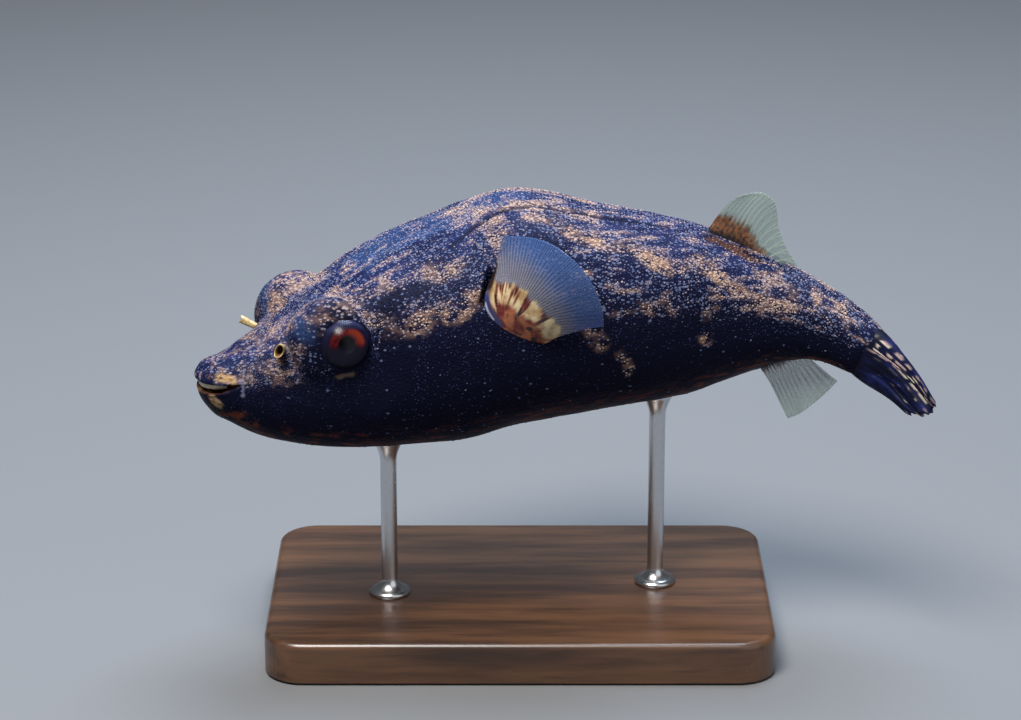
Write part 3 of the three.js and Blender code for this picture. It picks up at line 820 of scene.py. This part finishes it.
def path_cover(point, broad, ragged):
    """How much of each point each kind in MARKINGS covers, by its distance from their paths."""
    girth = girth_at(point)
    level = side_rise(point)
    wander = 2.2 * noise_at(point, 5.0, 7.0)
    fine = noise_at(point, 0.9, 11.0)
    broken = ease(noise_at(point * (0.8, 1, 1), 2.9, 8.0), -0.3, 0.1, 0.35, 1.0)
    fields = {}
    for kind, width, strength, path in MARKINGS:
        drift = min(1, width)
        rise = level + drift * 7 * broad
        along = point[..., 0] + drift * wander
        cover = 0 * level
        for (s0, r0), (s1, r1) in zip(path, path[1:]):
            dx, dy = s1 - s0, np.radians(r1 - r0) * girth
            px, py = along - s0, np.radians(rise - r0) * girth
            t = np.clip((px * dx + py * dy) / (dx * dx + dy * dy), 0, 1)
            apart = np.hypot(px - t * dx, py - t * dy) + 0.75 * width * ragged
            apart += 0.4 * fine * max(0, 1 - width)
            cover = np.maximum(cover, strength * fade(apart, 0.5 * width, 1.7 * width))
        fields[kind] = np.maximum(fields.get(kind, 0), cover * broken if kind == "sand" else cover)
    return fields


def markings(point, eye_off):
    """The fields that colour the skin and its granules, from 0 to 1 at each point."""
    s = point[..., 0]
    rise = side_rise(point)
    broad = noise_at(point, 9.0, 2.0)
    ragged = noise_at(point * (0.6, 1, 1), 2.4, 4.0)
    fields = path_cover(point, broad, ragged)
    bare = fields.pop("bare")

    # streaks that slant over the head and lie level on the trunk, different on each side
    lean = np.radians(27) * fade(s, 50, 62)
    up = np.radians(rise) * girth_at(point)
    along = (s * np.cos(lean) + up * np.sin(lean)) / 5
    across = (up * np.cos(lean) - s * np.sin(lean)) / 1.3
    streaks = noise_at(stack(along, across, 9 * np.sign(point[..., 1])), 1.0)

    # the pale upper part, above a line along the flank
    waterline = np.interp(s, [10, 24, 31, 46, 54, 62, 80, 105, 120], [12, 14, 20, 23, 18, 6, 8, 8, 4])
    upper = smooth(rise - waterline + 5 * ragged, -4, 16)
    bands = 0.55 * upper * smooth(streaks + 0.4 * broad, 0.12, 0.5)
    snout = fade(s, 14, 20) * smooth(rise, 5, 25)
    blotches = 0.45 * snout * smooth(noise_at(point, 1.4, 6.0), 0.02, 0.25)
    above_eye = smooth(point[..., 2] - EYE_CENTRE[2], 1.5, 4)
    dark = np.maximum(fields["dark"], fade(eye_off, 62, 84) * (1 - 0.9 * above_eye))
    away = smooth(eye_off, 57, 66)
    sand = np.maximum(fields["sand"], np.maximum(blotches, bands))
    speckle = 0.01 + upper * ease(streaks, -0.4, 0.5, 0.3, 0.75) + 0.1 * smooth(rise, 55, 84)
    # painted sheen: bluer up the flank, as the light from above glosses it, and fainter towards the tail
    sheen = smooth(rise, 5, 60) * ease(broad + streaks, -0.4, 0.6, 0.4, 1.0)
    sheen *= ease(s, 92, 112, 1, 0.5)
    fields["dark"] = dark
    fields["sand"] = sand * (1 - dark) * away * (1 - 0.8 * bare)
    fields["speckle"] = speckle * (1 - 0.6 * dark) * away * (1 - 0.7 * bare)
    fields["sheen"] = sheen * (1 - 0.6 * dark) * smooth(eye_off, 66, 99)
    # painted shade in the crease: the pale marks and the sheen fade out along it, leaving a dark line
    off_crease = 1 - bell(crease_distance(point)[0], 0.5)
    for kind in ("sand", "speckle", "sheen", "blue"):
        fields[kind] = fields[kind] * off_crease

    grain = noise_at(point * (0.16, 1, 1), 1.1, 3.0)
    belly = smooth(-rise, 30, 58) * smooth(grain, -0.05, 0.35)
    fields["rust"] = np.maximum(fields["rust"], belly)
    return fields


# ---- granules

BEAD_SIDES = 5
GRANULE_GAP = 0.64  # millimetres between neighbours on the trunk
ROW_GAP = 0.87  # between rows, as a share of the gap between neighbours
GRANULE_PATCH = 0.0014  # how far each granule reaches on the UV map
MOST_TRIANGLES = 190_000  # in one mesh


def bead_shape():
    """A low dome: its points with a height of 1 and a radius of 1, and its triangles."""
    turn = 2 * math.pi * np.arange(BEAD_SIDES) / BEAD_SIDES
    low = stack(np.cos(turn), np.sin(turn), -0.15)
    mid = stack(0.72 * np.cos(turn), 0.72 * np.sin(turn), 0.66)
    points = np.vstack([low, mid, [[0, 0, 1]]])
    k = np.arange(BEAD_SIDES)
    after = (k + 1) % BEAD_SIDES
    lower = stack(k, after, k + BEAD_SIDES)
    upper = stack(after, after + BEAD_SIDES, k + BEAD_SIDES)
    cap = stack(k + BEAD_SIDES, after + BEAD_SIDES, 2 * BEAD_SIDES)
    return points, np.vstack([lower, upper, cap])


def granule_roots(posed, straight):
    """Where the granules stand: (ring, column) places in the skin's grid, evenly spread."""
    step = np.linalg.norm(np.diff(posed, axis=0), axis=-1).mean(1)
    travelled = np.concatenate([[0], np.cumsum(step)])
    around = np.linalg.norm(posed - np.roll(posed, 1, 1), axis=-1).sum(1)
    roots = []
    at = travelled[MOUTH_RINGS + 4]
    while at < travelled[-CLOSING_RINGS - 1]:
        ring = np.interp(at, travelled, np.arange(len(travelled)))
        station = np.interp(ring, np.arange(len(posed)), straight[:, 0, 0])
        gap = GRANULE_GAP * ease(station, 8, 40, 0.62, 1.0) * ease(station, 96, 120, 1, 0.8)
        count = int(np.interp(ring, np.arange(len(posed)), around) / gap)
        column = (np.arange(count) + rng.random()) / count * AROUND
        column = column + rng.uniform(-0.3, 0.3, count) * AROUND / count
        rings = ring + rng.uniform(-0.3, 0.3, count) * gap / np.interp(at, travelled[1:], step)
        roots.append(stack(rings, column % AROUND))
        at += gap * ROW_GAP
    roots = np.vstack(roots)
    return roots[(roots[:, 0] > MOUTH_RINGS + 3) & (roots[:, 0] < len(posed) - CLOSING_RINGS - 1)]


def sample(grid, roots):
    """A grid's values between its points."""
    j = np.floor(roots[:, 0]).astype(int)
    k = np.floor(roots[:, 1]).astype(int)
    shape = (-1,) + (1,) * (grid.ndim - 2)
    down = (roots[:, 0] - j).reshape(shape)
    across = (roots[:, 1] - k).reshape(shape)
    after = (k + 1) % AROUND
    near = mix(grid[j, k], grid[j, after], across)
    return mix(near, mix(grid[j + 1, k], grid[j + 1, after], across), down)


def room_for_granules(roots, place, eye_off):
    """Away from the eyes, the gill openings, the lips and the crease."""
    s, _, h = place.T
    along, behind = gill_places(s, h)
    slit = (along > -0.1) & (along < 1.1) & (np.abs(behind) < 1.1)
    lips = (s < 7) & (np.abs(h - mouth_line(s)) < 2.2)
    crease = np.abs(crease_distance(place)[0]) < 0.4
    return (sample(eye_off, roots) > 60) & ~slit & ~lips & ~crease


def granule_looks(roots, place, fields):
    """Which granules are kept, and how bright, warm and rusty each of those is."""
    value = {key: sample(grid, roots) for key, grid in fields.items()}
    rise = side_rise(place)
    chance = rng.random(len(roots))
    bright = np.clip(value["speckle"] + 0.8 * value["sand"] + 0.1 * value["rust"], 0, 1)
    dim = smooth(rise, -10, 45) * (1 - value["dark"]) * 0.35
    tone = np.where(chance < bright, rng.uniform(0.35, 1.0, len(roots)), dim * rng.random(len(roots)))
    tone = tone * ease(place[:, 0], 10, 30, 0.65, 0.95)
    tone = tone * mix(0.45, 1.0, np.maximum(value["sand"], smooth(rise, 0, 30)))
    warm = np.clip(value["sand"] * 1.2 + rng.uniform(-0.15, 0.6, len(roots)), 0, 1)
    rust = np.clip(value["rust"] + 0.5 * value["brown"], 0, 1)
    keep = chance < bright + 0.35 * smooth(rise, -40, 30) + 0.06
    return keep, {"tone": tone[keep], "warm": warm[keep], "rust": rust[keep]}


def build_granules(posed, straight, normal, fields, eye_off, material):
    roots = granule_roots(posed, straight)
    roots = roots[room_for_granules(roots, sample(straight, roots), eye_off)]
    keep, looks = granule_looks(roots, sample(straight, roots), fields)
    roots = roots[keep]
    station = sample(straight, roots)[:, 0]
    up = unit(sample(normal, roots))
    aft = spine_frame(station)[0]
    aft = unit(aft - up * np.einsum("ij,ij->i", aft, up)[:, None])
    axes = np.stack([aft, np.cross(up, aft), up], 1)
    size = rng.uniform(0.11, 0.22, len(roots)) * ease(station, 8, 40, 0.6, 1.0)
    size = size * mix(0.7, 1.0, looks["tone"]) * mix(1, 1.15, looks["warm"])
    long = size * rng.uniform(1.0, 1.35, len(roots))
    tall = size * rng.uniform(0.45, 0.7, len(roots))
    dome, triangles = bead_shape()
    shaped = stack(long, size, tall)[:, None, :] * dome
    points = sample(posed, roots)[:, None, :] + np.einsum("nki,nij->nkj", shaped, axes)
    middle = stack(roots[:, 1] / AROUND, roots[:, 0] / (len(posed) - 1))
    patches = middle[:, None, :] + GRANULE_PATCH * dome[:, :2]

    order = np.argsort(roots[:, 0], kind="stable")
    cuts = np.array_split(order, 1 + len(roots) * len(triangles) // MOST_TRIANGLES)
    for number, chosen in enumerate(cuts, 1):
        faces = (np.arange(len(chosen))[:, None, None] * len(dome) + triangles).reshape(-1, 3)
        uv = patches[chosen].reshape(-1, 2)[faces]
        values = {key: np.repeat(look[chosen], len(dome)) for key, look in looks.items()}
        mesh_piece(f"granules_{number}", points[chosen], [faces], material, uv=[uv], values=values)


# ---- fins


def plate(name, straight, thickness, material, values):
    """A closed plate about rows of middle points on the straight fish, as thick as asked at each."""
    rows = pose(straight)
    across = unit(np.cross(np.gradient(rows, axis=0), np.gradient(rows, axis=1)))
    half = across * thickness[..., None] / 2
    loop = np.concatenate([rows + half, (rows - half)[:, ::-1]], 1)
    faces, uv = grid_faces(*loop.shape[:2])
    both = {key: np.concatenate([v, v[:, ::-1]], 1) for key, v in values.items()}
    mesh_piece(name, loop, [faces], material, [name], [uv], both)


def ray_ridges(t, out, rays, fork):
    """From 0 to 1 at the crest of each ray. Past the share "fork" each ray is two branches."""
    beside = np.mod(t * rays, 1) - 0.5
    spread = 0.25 * smooth(out, fork, 1.15)
    width = ease(out, fork, 1.0, 0.17, 0.10)
    return np.maximum(bell(beside - spread, width), bell(beside + spread, width))


def fan(columns, rows):
    return np.meshgrid(np.linspace(0, 1, columns), np.linspace(0, 1, rows), indexing="ij")


def sheet_noise(u, v, shift):
    return noise_at(stack(u, v, 0.0), 1.0, shift)


def ray_path(reach, out, bow, rise):
    """How long each bowed ray is up to each point, and how far back and how far up it has gone."""
    length = (reach + FIN_SINK) * out
    bent = bow * length * np.sin(math.pi * out)
    along = length * np.cos(rise) - bent * np.sin(rise)
    return length, along, length * np.sin(rise) + bent * np.cos(rise)


def pectoral_rows(t, out, side, folded):
    """The middle points of the blade, and how far each is out along its ray from the flank."""
    s = 54.8 - 7.9 * t + 19 * t**3
    h = 12.3 - 13 * t + 1.2 * t * t
    reach = 6.4 + 42.5 * t - 14 * t * t - 24.4 * t**3
    length, along, up = ray_path(reach, out, 0.04, np.radians(mix(74 - 53 * t**0.34, -2, folded)))
    outward = along * math.sin(PECTORAL_FLARE) + 0.16 * np.abs(up)
    tuck = FOLDED_TUCK * folded * fade(t, 0.25, 0.45) * (1 - out) ** 2
    root = flank_at(s, h) - FIN_SINK - tuck
    places = stack(s + along * math.cos(PECTORAL_FLARE), side * (root + outward), h + up)
    return places, length - FIN_SINK


def pectoral_fin(name, side, folded, material):
    """A fan of fine rays round a fleshy lobe, laid over the blade's outline."""
    t, out = fan(241, 96)
    raised, shown = pectoral_rows(t, out, 1, 0)
    level = (raised[..., 0] - PECTORAL_HUB[0]) / math.cos(PECTORAL_FLARE)
    up = raised[..., 2] - PECTORAL_HUB[1]
    radius = np.hypot(level, up)
    share = (np.degrees(np.arctan2(up, level)) + 12) / 140
    lobe = LOBE_RADIUS + 3.4 * fade(share, 0.08, 0.4) - 0.8 * smooth(share, 0.55, 0.8)
    reach = smooth(radius, lobe - 1, 20)
    ridge = ray_ridges(share, reach, 54, 0.3)
    straight, _ = pectoral_rows(t, out, side, folded)
    ripple = 0.4 * noise_at(raised, 5.0, 3.0) * smooth(out, 0.4, 1.0)
    straight[..., 1] += side * ripple
    lobes = sheet_noise(share * 15, radius / 5, 3.0)
    blots = sheet_noise(share * 11, radius / 2.6, 6.0)
    fringe = sheet_noise(share * 40, radius / 4, 1.0)
    edge = lobe + 0.9 * lobes + 0.4 * fringe
    flesh = fade(radius, edge - 0.5, edge + 0.5)
    cream = smooth(radius + 1.8 * blots, edge - 4.6, edge - 3.0) * smooth(lobes + 0.35 * fringe, -0.28, 0.06)
    gap = smooth(blots, 0.2, 0.36) * smooth(radius, 2.5, 4.5) * (1 - cream)
    between = bell(lobes + 0.35 * fringe + 0.34, 0.17) * smooth(radius, edge - 5, edge - 3)
    # painted shade: the root sunk in the gill slit is coloured near-black, as the slit's shadow
    sunk_shade = fade(shown, 0.3, 1.3) * fade(t, 0.25, 0.4)
    rim = span(t, 0.2, 0.45, 0.6, 0.78) * fade(shown, -1.0, 1.1)
    thick = ease(radius, lobe - 4, lobe + 1, LOBE_THICK, MEMBRANE_THICK) + 0.05 * ridge * (1 - 0.5 * out)
    thick = thick * span(t, -0.001, 0.03, 0.985, 1.001) * fade(out, 0.985, 1.001)
    values = {"place": raised, "out": reach, "ray": ridge, "cream": cream, "rim": rim}
    values["flesh"] = np.maximum(flesh, sunk_shade)
    values["gap"] = np.maximum(np.maximum(gap, between), sunk_shade)
    plate(name, straight, thick, material, values)


def midline_fin(name, rays, root_thick, flesh_edge, material, stations, height, reach, bow, rise):
    """The dorsal or the anal fin. t runs from its front to its rear, and out along its rays."""
    t, out = fan(rays * 12 + 1, 48)
    s = mix(*stations, t)
    root = height(s) - np.sign(height(s)) * FIN_SINK
    _, along, up = ray_path(reach(t), out, bow, rise(t))
    ripple = 0.175 * out * np.sin(4 * math.pi * t + 2 * out)
    straight = stack(s + along, ripple, root + up)
    ridge = ray_ridges(t, out, rays, 0.45)
    scallop = 1 - 0.02 * (1 - ridge) * smooth(out, 0.8, 1.0)
    straight[..., 2] = mix(straight[:, :1, 2], straight[..., 2], scallop)
    edge = flesh_edge(t) + 0.11 * sheet_noise(t * 26, out * 4, 2.0)
    thick = ease(out, 0.05, 0.5, root_thick, 0.12) + 0.1 * ridge * mix(1, 0.4, out)
    thick = thick * span(t, -0.001, 0.02, 0.98, 1.001) * fade(out, 0.985, 1.001)
    values = {"place": straight, "out": out, "ray": ridge, "flesh": fade(out, edge - 0.12, edge + 0.09)}
    plate(name, straight, thick, material, values)


def caudal_fin(material):
    """Folded: its rays lie side by side behind the tail, with a ragged end."""
    rays = 11
    t, out = fan(rays * 14 + 1, 80)
    ridge = bell(np.mod(t * rays, 1) - 0.5, 0.3)
    ragged = 0.08 * sheet_noise(t * 7, 0, 8.0) - 0.02 * (1 - ridge)
    length = CAUDAL_LENGTH * (1 + 0.16 * (0.5 - t) - 0.1 * (2 * t - 1) ** 2)
    length = length * (1 + ragged * smooth(out, 0.6, 1))
    h = mix(mix(*CAUDAL_ROOT, t), mix(*CAUDAL_TIP, t), out) * (1 + 0.14 * np.sin(math.pi * out))
    fold = 0.3 * np.sin(2 * math.pi * (t * 2.6 + 0.1)) * smooth(out, 0.1, 0.6)
    fold = fold + 0.9 * sheet_noise(t * 3, out * 2, 5.0) * smooth(out, 0.5, 1)
    straight = stack(BODY_END - 3 + (length + 3.3) * out, fold, h)
    thick = ease(out, 0.0, 0.75, *CAUDAL_THICK) * ease(out, 0.25, 0.8, 1.0, 0.7 + 0.3 * ridge)
    rounding = np.abs(2 * t - 1) ** ease(out, 0.1, 0.6, 2.2, 6)
    thick = thick * np.sqrt(np.clip(1 - rounding, 0, 1)) * fade(out, 0.96, 1.001)
    dash = sheet_noise(t * rays, out * 15, 3.0)
    top = span(t, 0.02, 0.07, 0.24, 0.42) * smooth(out, 0.2, 0.3)
    top = top * (1 - 0.5 * smooth(out, 0.75, 0.95)) * smooth(dash, -0.2, 0.15)
    middle = 0.45 * smooth(dash, 0.3, 0.5) * smooth(out, 0.3, 0.5) * fade(t, 0.6, 0.8)
    end = 0.5 * smooth(out, 0.9, 1.0) * smooth(dash, 0, 0.4)
    light = np.maximum(np.maximum(top, middle), end)
    values = {"place": straight, "out": out, "ray": ridge, "light": light}
    plate("caudal_fin", straight, thick, material, values)


# ---- eyes, beak and feelers


def arc(radius, start, end, count):
    """(radius, height) pairs on a ball, from one angle off its top to another."""
    return [(radius * math.sin(a), radius * math.cos(a)) for a in np.linspace(start, end, count)]


def lathe(profile, centre, axes, segments):
    """Points and quads of (radius, height) pairs turned about axes[2] through centre."""
    turn = 2 * math.pi * np.arange(segments) / segments
    radius, height = np.array(profile, float).T[..., None]
    local = stack(radius * np.cos(turn), radius * np.sin(turn), height)
    return centre + local @ axes, local, grid_faces(len(profile), segments)[0]


def build_eye(word, side, iris, cornea):
    centre = pose(on_side(EYE_CENTRE, side))
    aft, left, up = spine_frame(np.array(EYE_CENTRE[0]))
    tilt = eye_axis(side)
    axis = unit(aft * tilt[0] + left * tilt[1] + up * tilt[2])
    level = unit(aft - axis * (aft @ axis))
    axes = np.stack([level, np.cross(axis, level), axis])
    limbus = math.radians(47)  # the edge of the iris, off the eye's axis
    globe = EYE_RADIUS - 0.05
    edge = globe * math.sin(limbus)
    rim_height = globe * math.cos(limbus)
    front = [(0.02, 2.75), (0.8, 2.8), (1.35, 2.95)]  # the pupil
    for share in np.linspace(0.4, 1, 14):
        dish = 0.12 * math.sin(math.pi * share) - 0.32 * (1 - share)
        front.append((edge * share, rim_height + dish))
    ball = arc(globe, limbus, math.pi - 0.01, 26)[1:]
    points, local, faces = lathe(front + ball, centre, axes, EYE_SEGMENTS)
    radial = np.hypot(local[..., 0], local[..., 1]) / edge
    radial[len(front):] = 1.0
    across = local[..., 1] * np.sign(axes[1, 2]) / edge
    turn = np.arctan2(across, local[..., 0])
    values = {
        "radial": radial,
        "side": smooth(np.cos(turn), 0.2, 0.9) * bell(radial - 0.72, 0.18),
        # shade: painted shade over the lower half of the iris; lit: a painted highlight along its top rim
        "shade": smooth(-across + 0.1 * np.sin(3 * turn), -0.16, 0.2),
        "lit": smooth(across, 0.62, 0.82) * smooth(radial, 0.7, 0.86),
        "place": local,
    }
    mesh_piece(f"eye_{word}", points, [faces], iris, [f"eye_{word}"], values=values)
    points, _, faces = lathe(arc(EYE_RADIUS, 0.004, 1.1, 22), centre, axes, EYE_SEGMENTS)
    mesh_piece(f"cornea_{word}", points, [faces], cornea)


BEAK_BACK = 5.1
BEAK_HALF_WIDTH = 3.7
BEAK_PROFILE = (  # share of the height above the cutting edge, millimetres behind the front
    (0, 0.34), (0.12, 0.12), (0.35, 0.0), (0.7, 0.0), (1, 0.05), (1, 0.7), (0.5, 0.75), (0.1, 0.6),
)


def beak_plate(name, cutting, root, front, material):
    """A curved ivory plate behind a lip, with a shallow groove down its middle."""
    turn = np.linspace(-math.pi / 2, math.pi / 2, 61)
    groove = 0.12 * bell(turn, 0.06)
    rows = []
    for share, back in BEAK_PROFILE:
        reach = (BEAK_BACK - front - back) * np.cos(turn) - groove
        q = (BEAK_HALF_WIDTH - back) * np.sin(turn)
        rows.append(stack(BEAK_BACK - reach, q, mix(cutting, root, share)))
    points, faces, _ = capped(np.array(rows).transpose(1, 0, 2))
    mesh_piece(name, pose(points), faces, material, [name])


def build_feeler(word, side, mouth, material):
    """A short fleshy tube at the nostril, open at its tip. mouth is its half height and width there."""
    start = feeler_root(side)
    way = unit(on_side(FEELER_WAY, side))
    high = unit(np.array([way[2], 0, -way[0]]))
    wide = np.cross(way, high)
    turn = 2 * math.pi * np.arange(FEELER_SIDES) / FEELER_SIDES
    notch = 0.55 * np.abs(np.sin(turn)) ** 3
    # share of the length, radius, how far inside the tube
    rows = [(out, ease(out, 0.3, 1, 0.8, 1.0), 0.0) for out in np.linspace(0, 1, 24)]
    rows += [(1.025, 0.92, 0.1), (1.0, 0.80, 0.5), (0.92, 0.70, 1.0), (0.8, 0.6, 1.0), (0.66, 0.4, 1.0)]
    points = []
    for out, radius, _ in rows:
        length = (FEELER_LENGTH + 1) * out - notch * smooth(out, 0.5, 1)
        tall, broad = radius * ease(out, 0.1, 1, 0.75, np.array(mouth))
        local = stack(length, tall * np.cos(turn), broad * np.sin(turn))
        points.append(start + local @ np.stack([way, high, wide]))
    flat = np.vstack([np.concatenate(points), points[-1].mean(0)])
    last = np.arange(FEELER_SIDES) + (len(rows) - 1) * FEELER_SIDES
    faces = [grid_faces(len(rows), FEELER_SIDES)[0], fan_faces(last, len(flat) - 1)]
    values = {"place": flat}
    values["inner"] = np.append(np.repeat([r[2] for r in rows], FEELER_SIDES), 1.0)
    values["tip"] = np.append(np.repeat([r[0] for r in rows], FEELER_SIDES), 0.5)
    node = f"nostril_feeler_{word}"
    mesh_piece(node, pose(flat), faces, material, [node], values=values)


def feeler_material():
    m = Shader("feeler")
    grain = m.noise(m.place(), 1.2, 3.0)
    colour = m.ramp(grain, 0.4, 0.62, (0.26, 0.17, 0.060), (0.46, 0.38, 0.19))
    # painted shade: inside the open tip the colour darkens towards the tube's deep end
    inside_shade = m.ramp(m.field("tip"), 0.7, 1.0, (0.030, 0.014, 0.006), (0.20, 0.10, 0.030))
    return m.set(Base_Color=m.paint(colour, inner=inside_shade), Roughness=0.45)


# ---- the stand


def build_base(material):
    """A flat board with round corners and a rounded upper edge."""
    low, high = node_box("stand_base")
    corner = 6.0
    bevel = 1.2
    profile = [(1.0, 0.0), (0.0, 0.5)]  # how far in from the edge, height
    for turned in np.linspace(0, math.pi / 2, 8):
        profile.append((bevel * (1 - math.cos(turned)), high[2] - bevel + bevel * math.sin(turned)))
    turn = np.tile(np.linspace(0, math.pi / 2, 12), 4) + np.repeat(np.arange(4), 12) * math.pi / 2
    quarter = np.repeat([(1, 1), (-1, 1), (-1, -1), (1, -1)], 12, axis=0)
    x, y = (quarter * ((high - low)[:2] / 2 - corner - bevel)).T
    rows = []
    for inset, z in profile:
        radius = corner + bevel - inset
        rows.append(stack(x + radius * np.cos(turn), y + radius * np.sin(turn), z))
    points, faces, _ = capped(np.array(rows))
    piece = mesh_piece("stand_base", points, faces, material, ["stand_base"])
    for polygon in piece.data.polygons:
        polygon.use_smooth = 0.02 < abs(polygon.normal.z) < 0.98


def build_rod(word, material, skin):
    """A turned rod with a spreading foot, and a small cup that the belly rests in."""
    node = f"stand_rod_{word}"
    x, y, _ = sum(node_box(node)) / 2
    foot = 8.0  # the base's upper face
    foot_radius = 3.8
    radius = 1.5
    up = Vector((0, 0, 1))
    touch = skin.ray_cast(Vector((x, y, foot + 3)), up)[0].z
    length = touch - foot
    profile = [(0.01, 0.0), (foot_radius, 0.0), (foot_radius, 0.55)]
    for share in np.linspace(0, 1, 9):
        spread = mix(foot_radius, radius, math.sin(share * math.pi / 2) ** 0.6)
        profile.append((spread, mix(0.75, 3.2, share)))
    profile += [(radius, 5.0), (radius, length - 5.2)]
    for share in np.linspace(0, 1, 9):
        profile.append((mix(radius, 2.7, share**1.6), mix(length - 4.2, length - 0.6, share)))
    profile += [(2.75, length + 0.2), (2.6, length + 0.6), (1.4, length + 0.4), (0.01, length + 0.3)]
    points, _, faces = lathe(profile, np.array([x, y, foot]), np.eye(3), 48)
    points = points.reshape(-1, 3)
    for i in np.nonzero(points[:, 2] > touch - 2.5)[0]:
        hit = skin.ray_cast(Vector((*points[i, :2], foot + 3)), up)[0]
        if hit:
            points[i, 2] = min(points[i, 2], hit.z - 0.02)
    mesh_piece(node, points, [faces], material, [node])


# ---- build everything

straight, eye_off, in_mouth = build_skin()
posed = pose(straight)
fields = markings(straight, eye_off)
fields["mouth"] = in_mouth
skin_points, skin_faces, skin_uv = capped(posed)
skin_values = {key: np.append(grid.ravel(), [grid[0, 0], grid[-1, 0]]) for key, grid in fields.items()}
skin_values["place"] = np.vstack([straight.reshape(-1, 3), straight[0, :1], straight[-1, :1]])
flesh_nodes = ["head", "trunk", "tail"]
mesh_piece("skin", skin_points, skin_faces, skin_material(), flesh_nodes, skin_uv, skin_values)
build_granules(posed, straight, normals_of(posed), fields, eye_off, granule_material())

fin_look = pectoral_material()
pectoral_fin("pectoral_fin_left", 1, 0, fin_look)
pectoral_fin("pectoral_fin_right", -1, 0.9, fin_look)
midline_fin(
    "dorsal_fin",
    rays=15,
    root_thick=2.2,
    flesh_edge=lambda t: 0.52 - 0.22 * t,
    material=midline_fin_material("dorsal_fin", (0.115, 0.045, 0.016), (0.008, 0.005, 0.006), 1.0),
    stations=(94.2, 106.3),
    height=back_at,
    reach=lambda t: 8.6 - 5.1 * smooth(t, 0.48, 0.95) + 2.2 * np.sin(math.pi * np.minimum(1, t / 0.7)),
    bow=0.09,
    rise=lambda t: np.radians(51 + 15 * t - 62 * t**5),
)
midline_fin(
    "anal_fin",
    rays=11,
    root_thick=1.8,
    flesh_edge=lambda t: 0.22 - 0.05 * t,
    material=midline_fin_material("anal_fin", (0.20, 0.12, 0.06), (0.03, 0.02, 0.02), 0.9),
    stations=(104.5, 113),
    height=belly_at,
    reach=lambda t: 11.6 - 1.8 * t + np.sin(math.pi * t),
    bow=-0.04,
    rise=lambda t: np.radians(-52 + 40 * t**2.2),
)
caudal_fin(caudal_material())

iris_look = iris_material()
cornea_look = cornea_material()
feeler_look = feeler_material()
for word, side, mouth in (("left", 1, (1.35, 0.8)), ("right", -1, (0.7, 0.6))):
    build_eye(word, side, iris_look, cornea_look)
    build_feeler(word, side, mouth, feeler_look)
tooth_look = plain_material("beak", (0.60, 0.52, 0.38), 0.25, 1.1, 0.28)
beak_plate("beak_upper", -8.15, -6.7, 1.25, tooth_look)
beak_plate("beak_lower", -8.95, -9.7, 2.3, tooth_look)

skin_tree = BVHTree.FromPolygons([Vector(p) for p in skin_points], skin_faces[0].tolist())
build_base(wood_material())
steel_look = plain_material("stand_metal", (0.60, 0.61, 0.63), 0.05, 0.8, 0.26, metallic=1.0)
build_rod("front", steel_look, skin_tree)
build_rod("rear", steel_look, skin_tree)

# ---- floor, light and camera


def staged(name, data, place, aim=None):
    thing = bpy.data.objects.new(name, data)
    bpy.context.scene.collection.objects.link(thing)
    thing.location = place
    if aim is not None:
        thing.rotation_euler = (Vector(aim) - Vector(place)).to_track_quat("-Z", "Y").to_euler()
    return thing


TARGET = (-0.00173, 0, 0.0516)


def add_floor():
    mesh = bpy.data.meshes.new("floor")
    mesh.from_pydata([(-2, -2, 0), (2, -2, 0), (2, 2, 0), (-2, 2, 0)], [], [(0, 1, 2, 3)])
    mesh.materials.append(Shader("floor").set(Base_Color=(0.13, 0.135, 0.14), Roughness=0.9))
    staged("floor", mesh, (0, 0, 0))


def add_light(name, place, size, energy, colour):
    light = bpy.data.lights.new(name, "AREA")
    light.shape = "DISK"
    light.size = size
    light.energy = energy
    light.color = colour
    staged(name, light, place, TARGET)


def add_camera():
    camera = bpy.data.cameras.new("camera")
    camera.lens = 116.36
    camera.sensor_width = 36
    camera.clip_start = 0.05
    camera.clip_end = 20
    elevation = math.radians(19)
    distance = 0.6
    place = Vector(TARGET) + Vector((0, -distance * math.cos(elevation), distance * math.sin(elevation)))
    made = staged("camera", camera, place, TARGET)
    bpy.context.scene.camera = made


add_floor()
add_light("key", (-0.16, -0.30, 0.66), 0.30, 9.0, (1.0, 0.96, 0.92))
add_light("top", (0.05, 0.20, 0.62), 0.40, 8.0, (0.70, 0.82, 1.0))
add_light("fill", (0.45, -0.50, 0.30), 0.8, 1.4, (0.95, 0.97, 1.0))
world = bpy.data.worlds.new("world")
world.use_nodes = True
world.node_tree.nodes["Background"].inputs["Color"].default_value = (0.55, 0.58, 0.62, 1)
world.node_tree.nodes["Background"].inputs["Strength"].default_value = 0.15
bpy.context.scene.view_settings.view_transform = "Standard"
bpy.context.scene.world = world
add_camera()
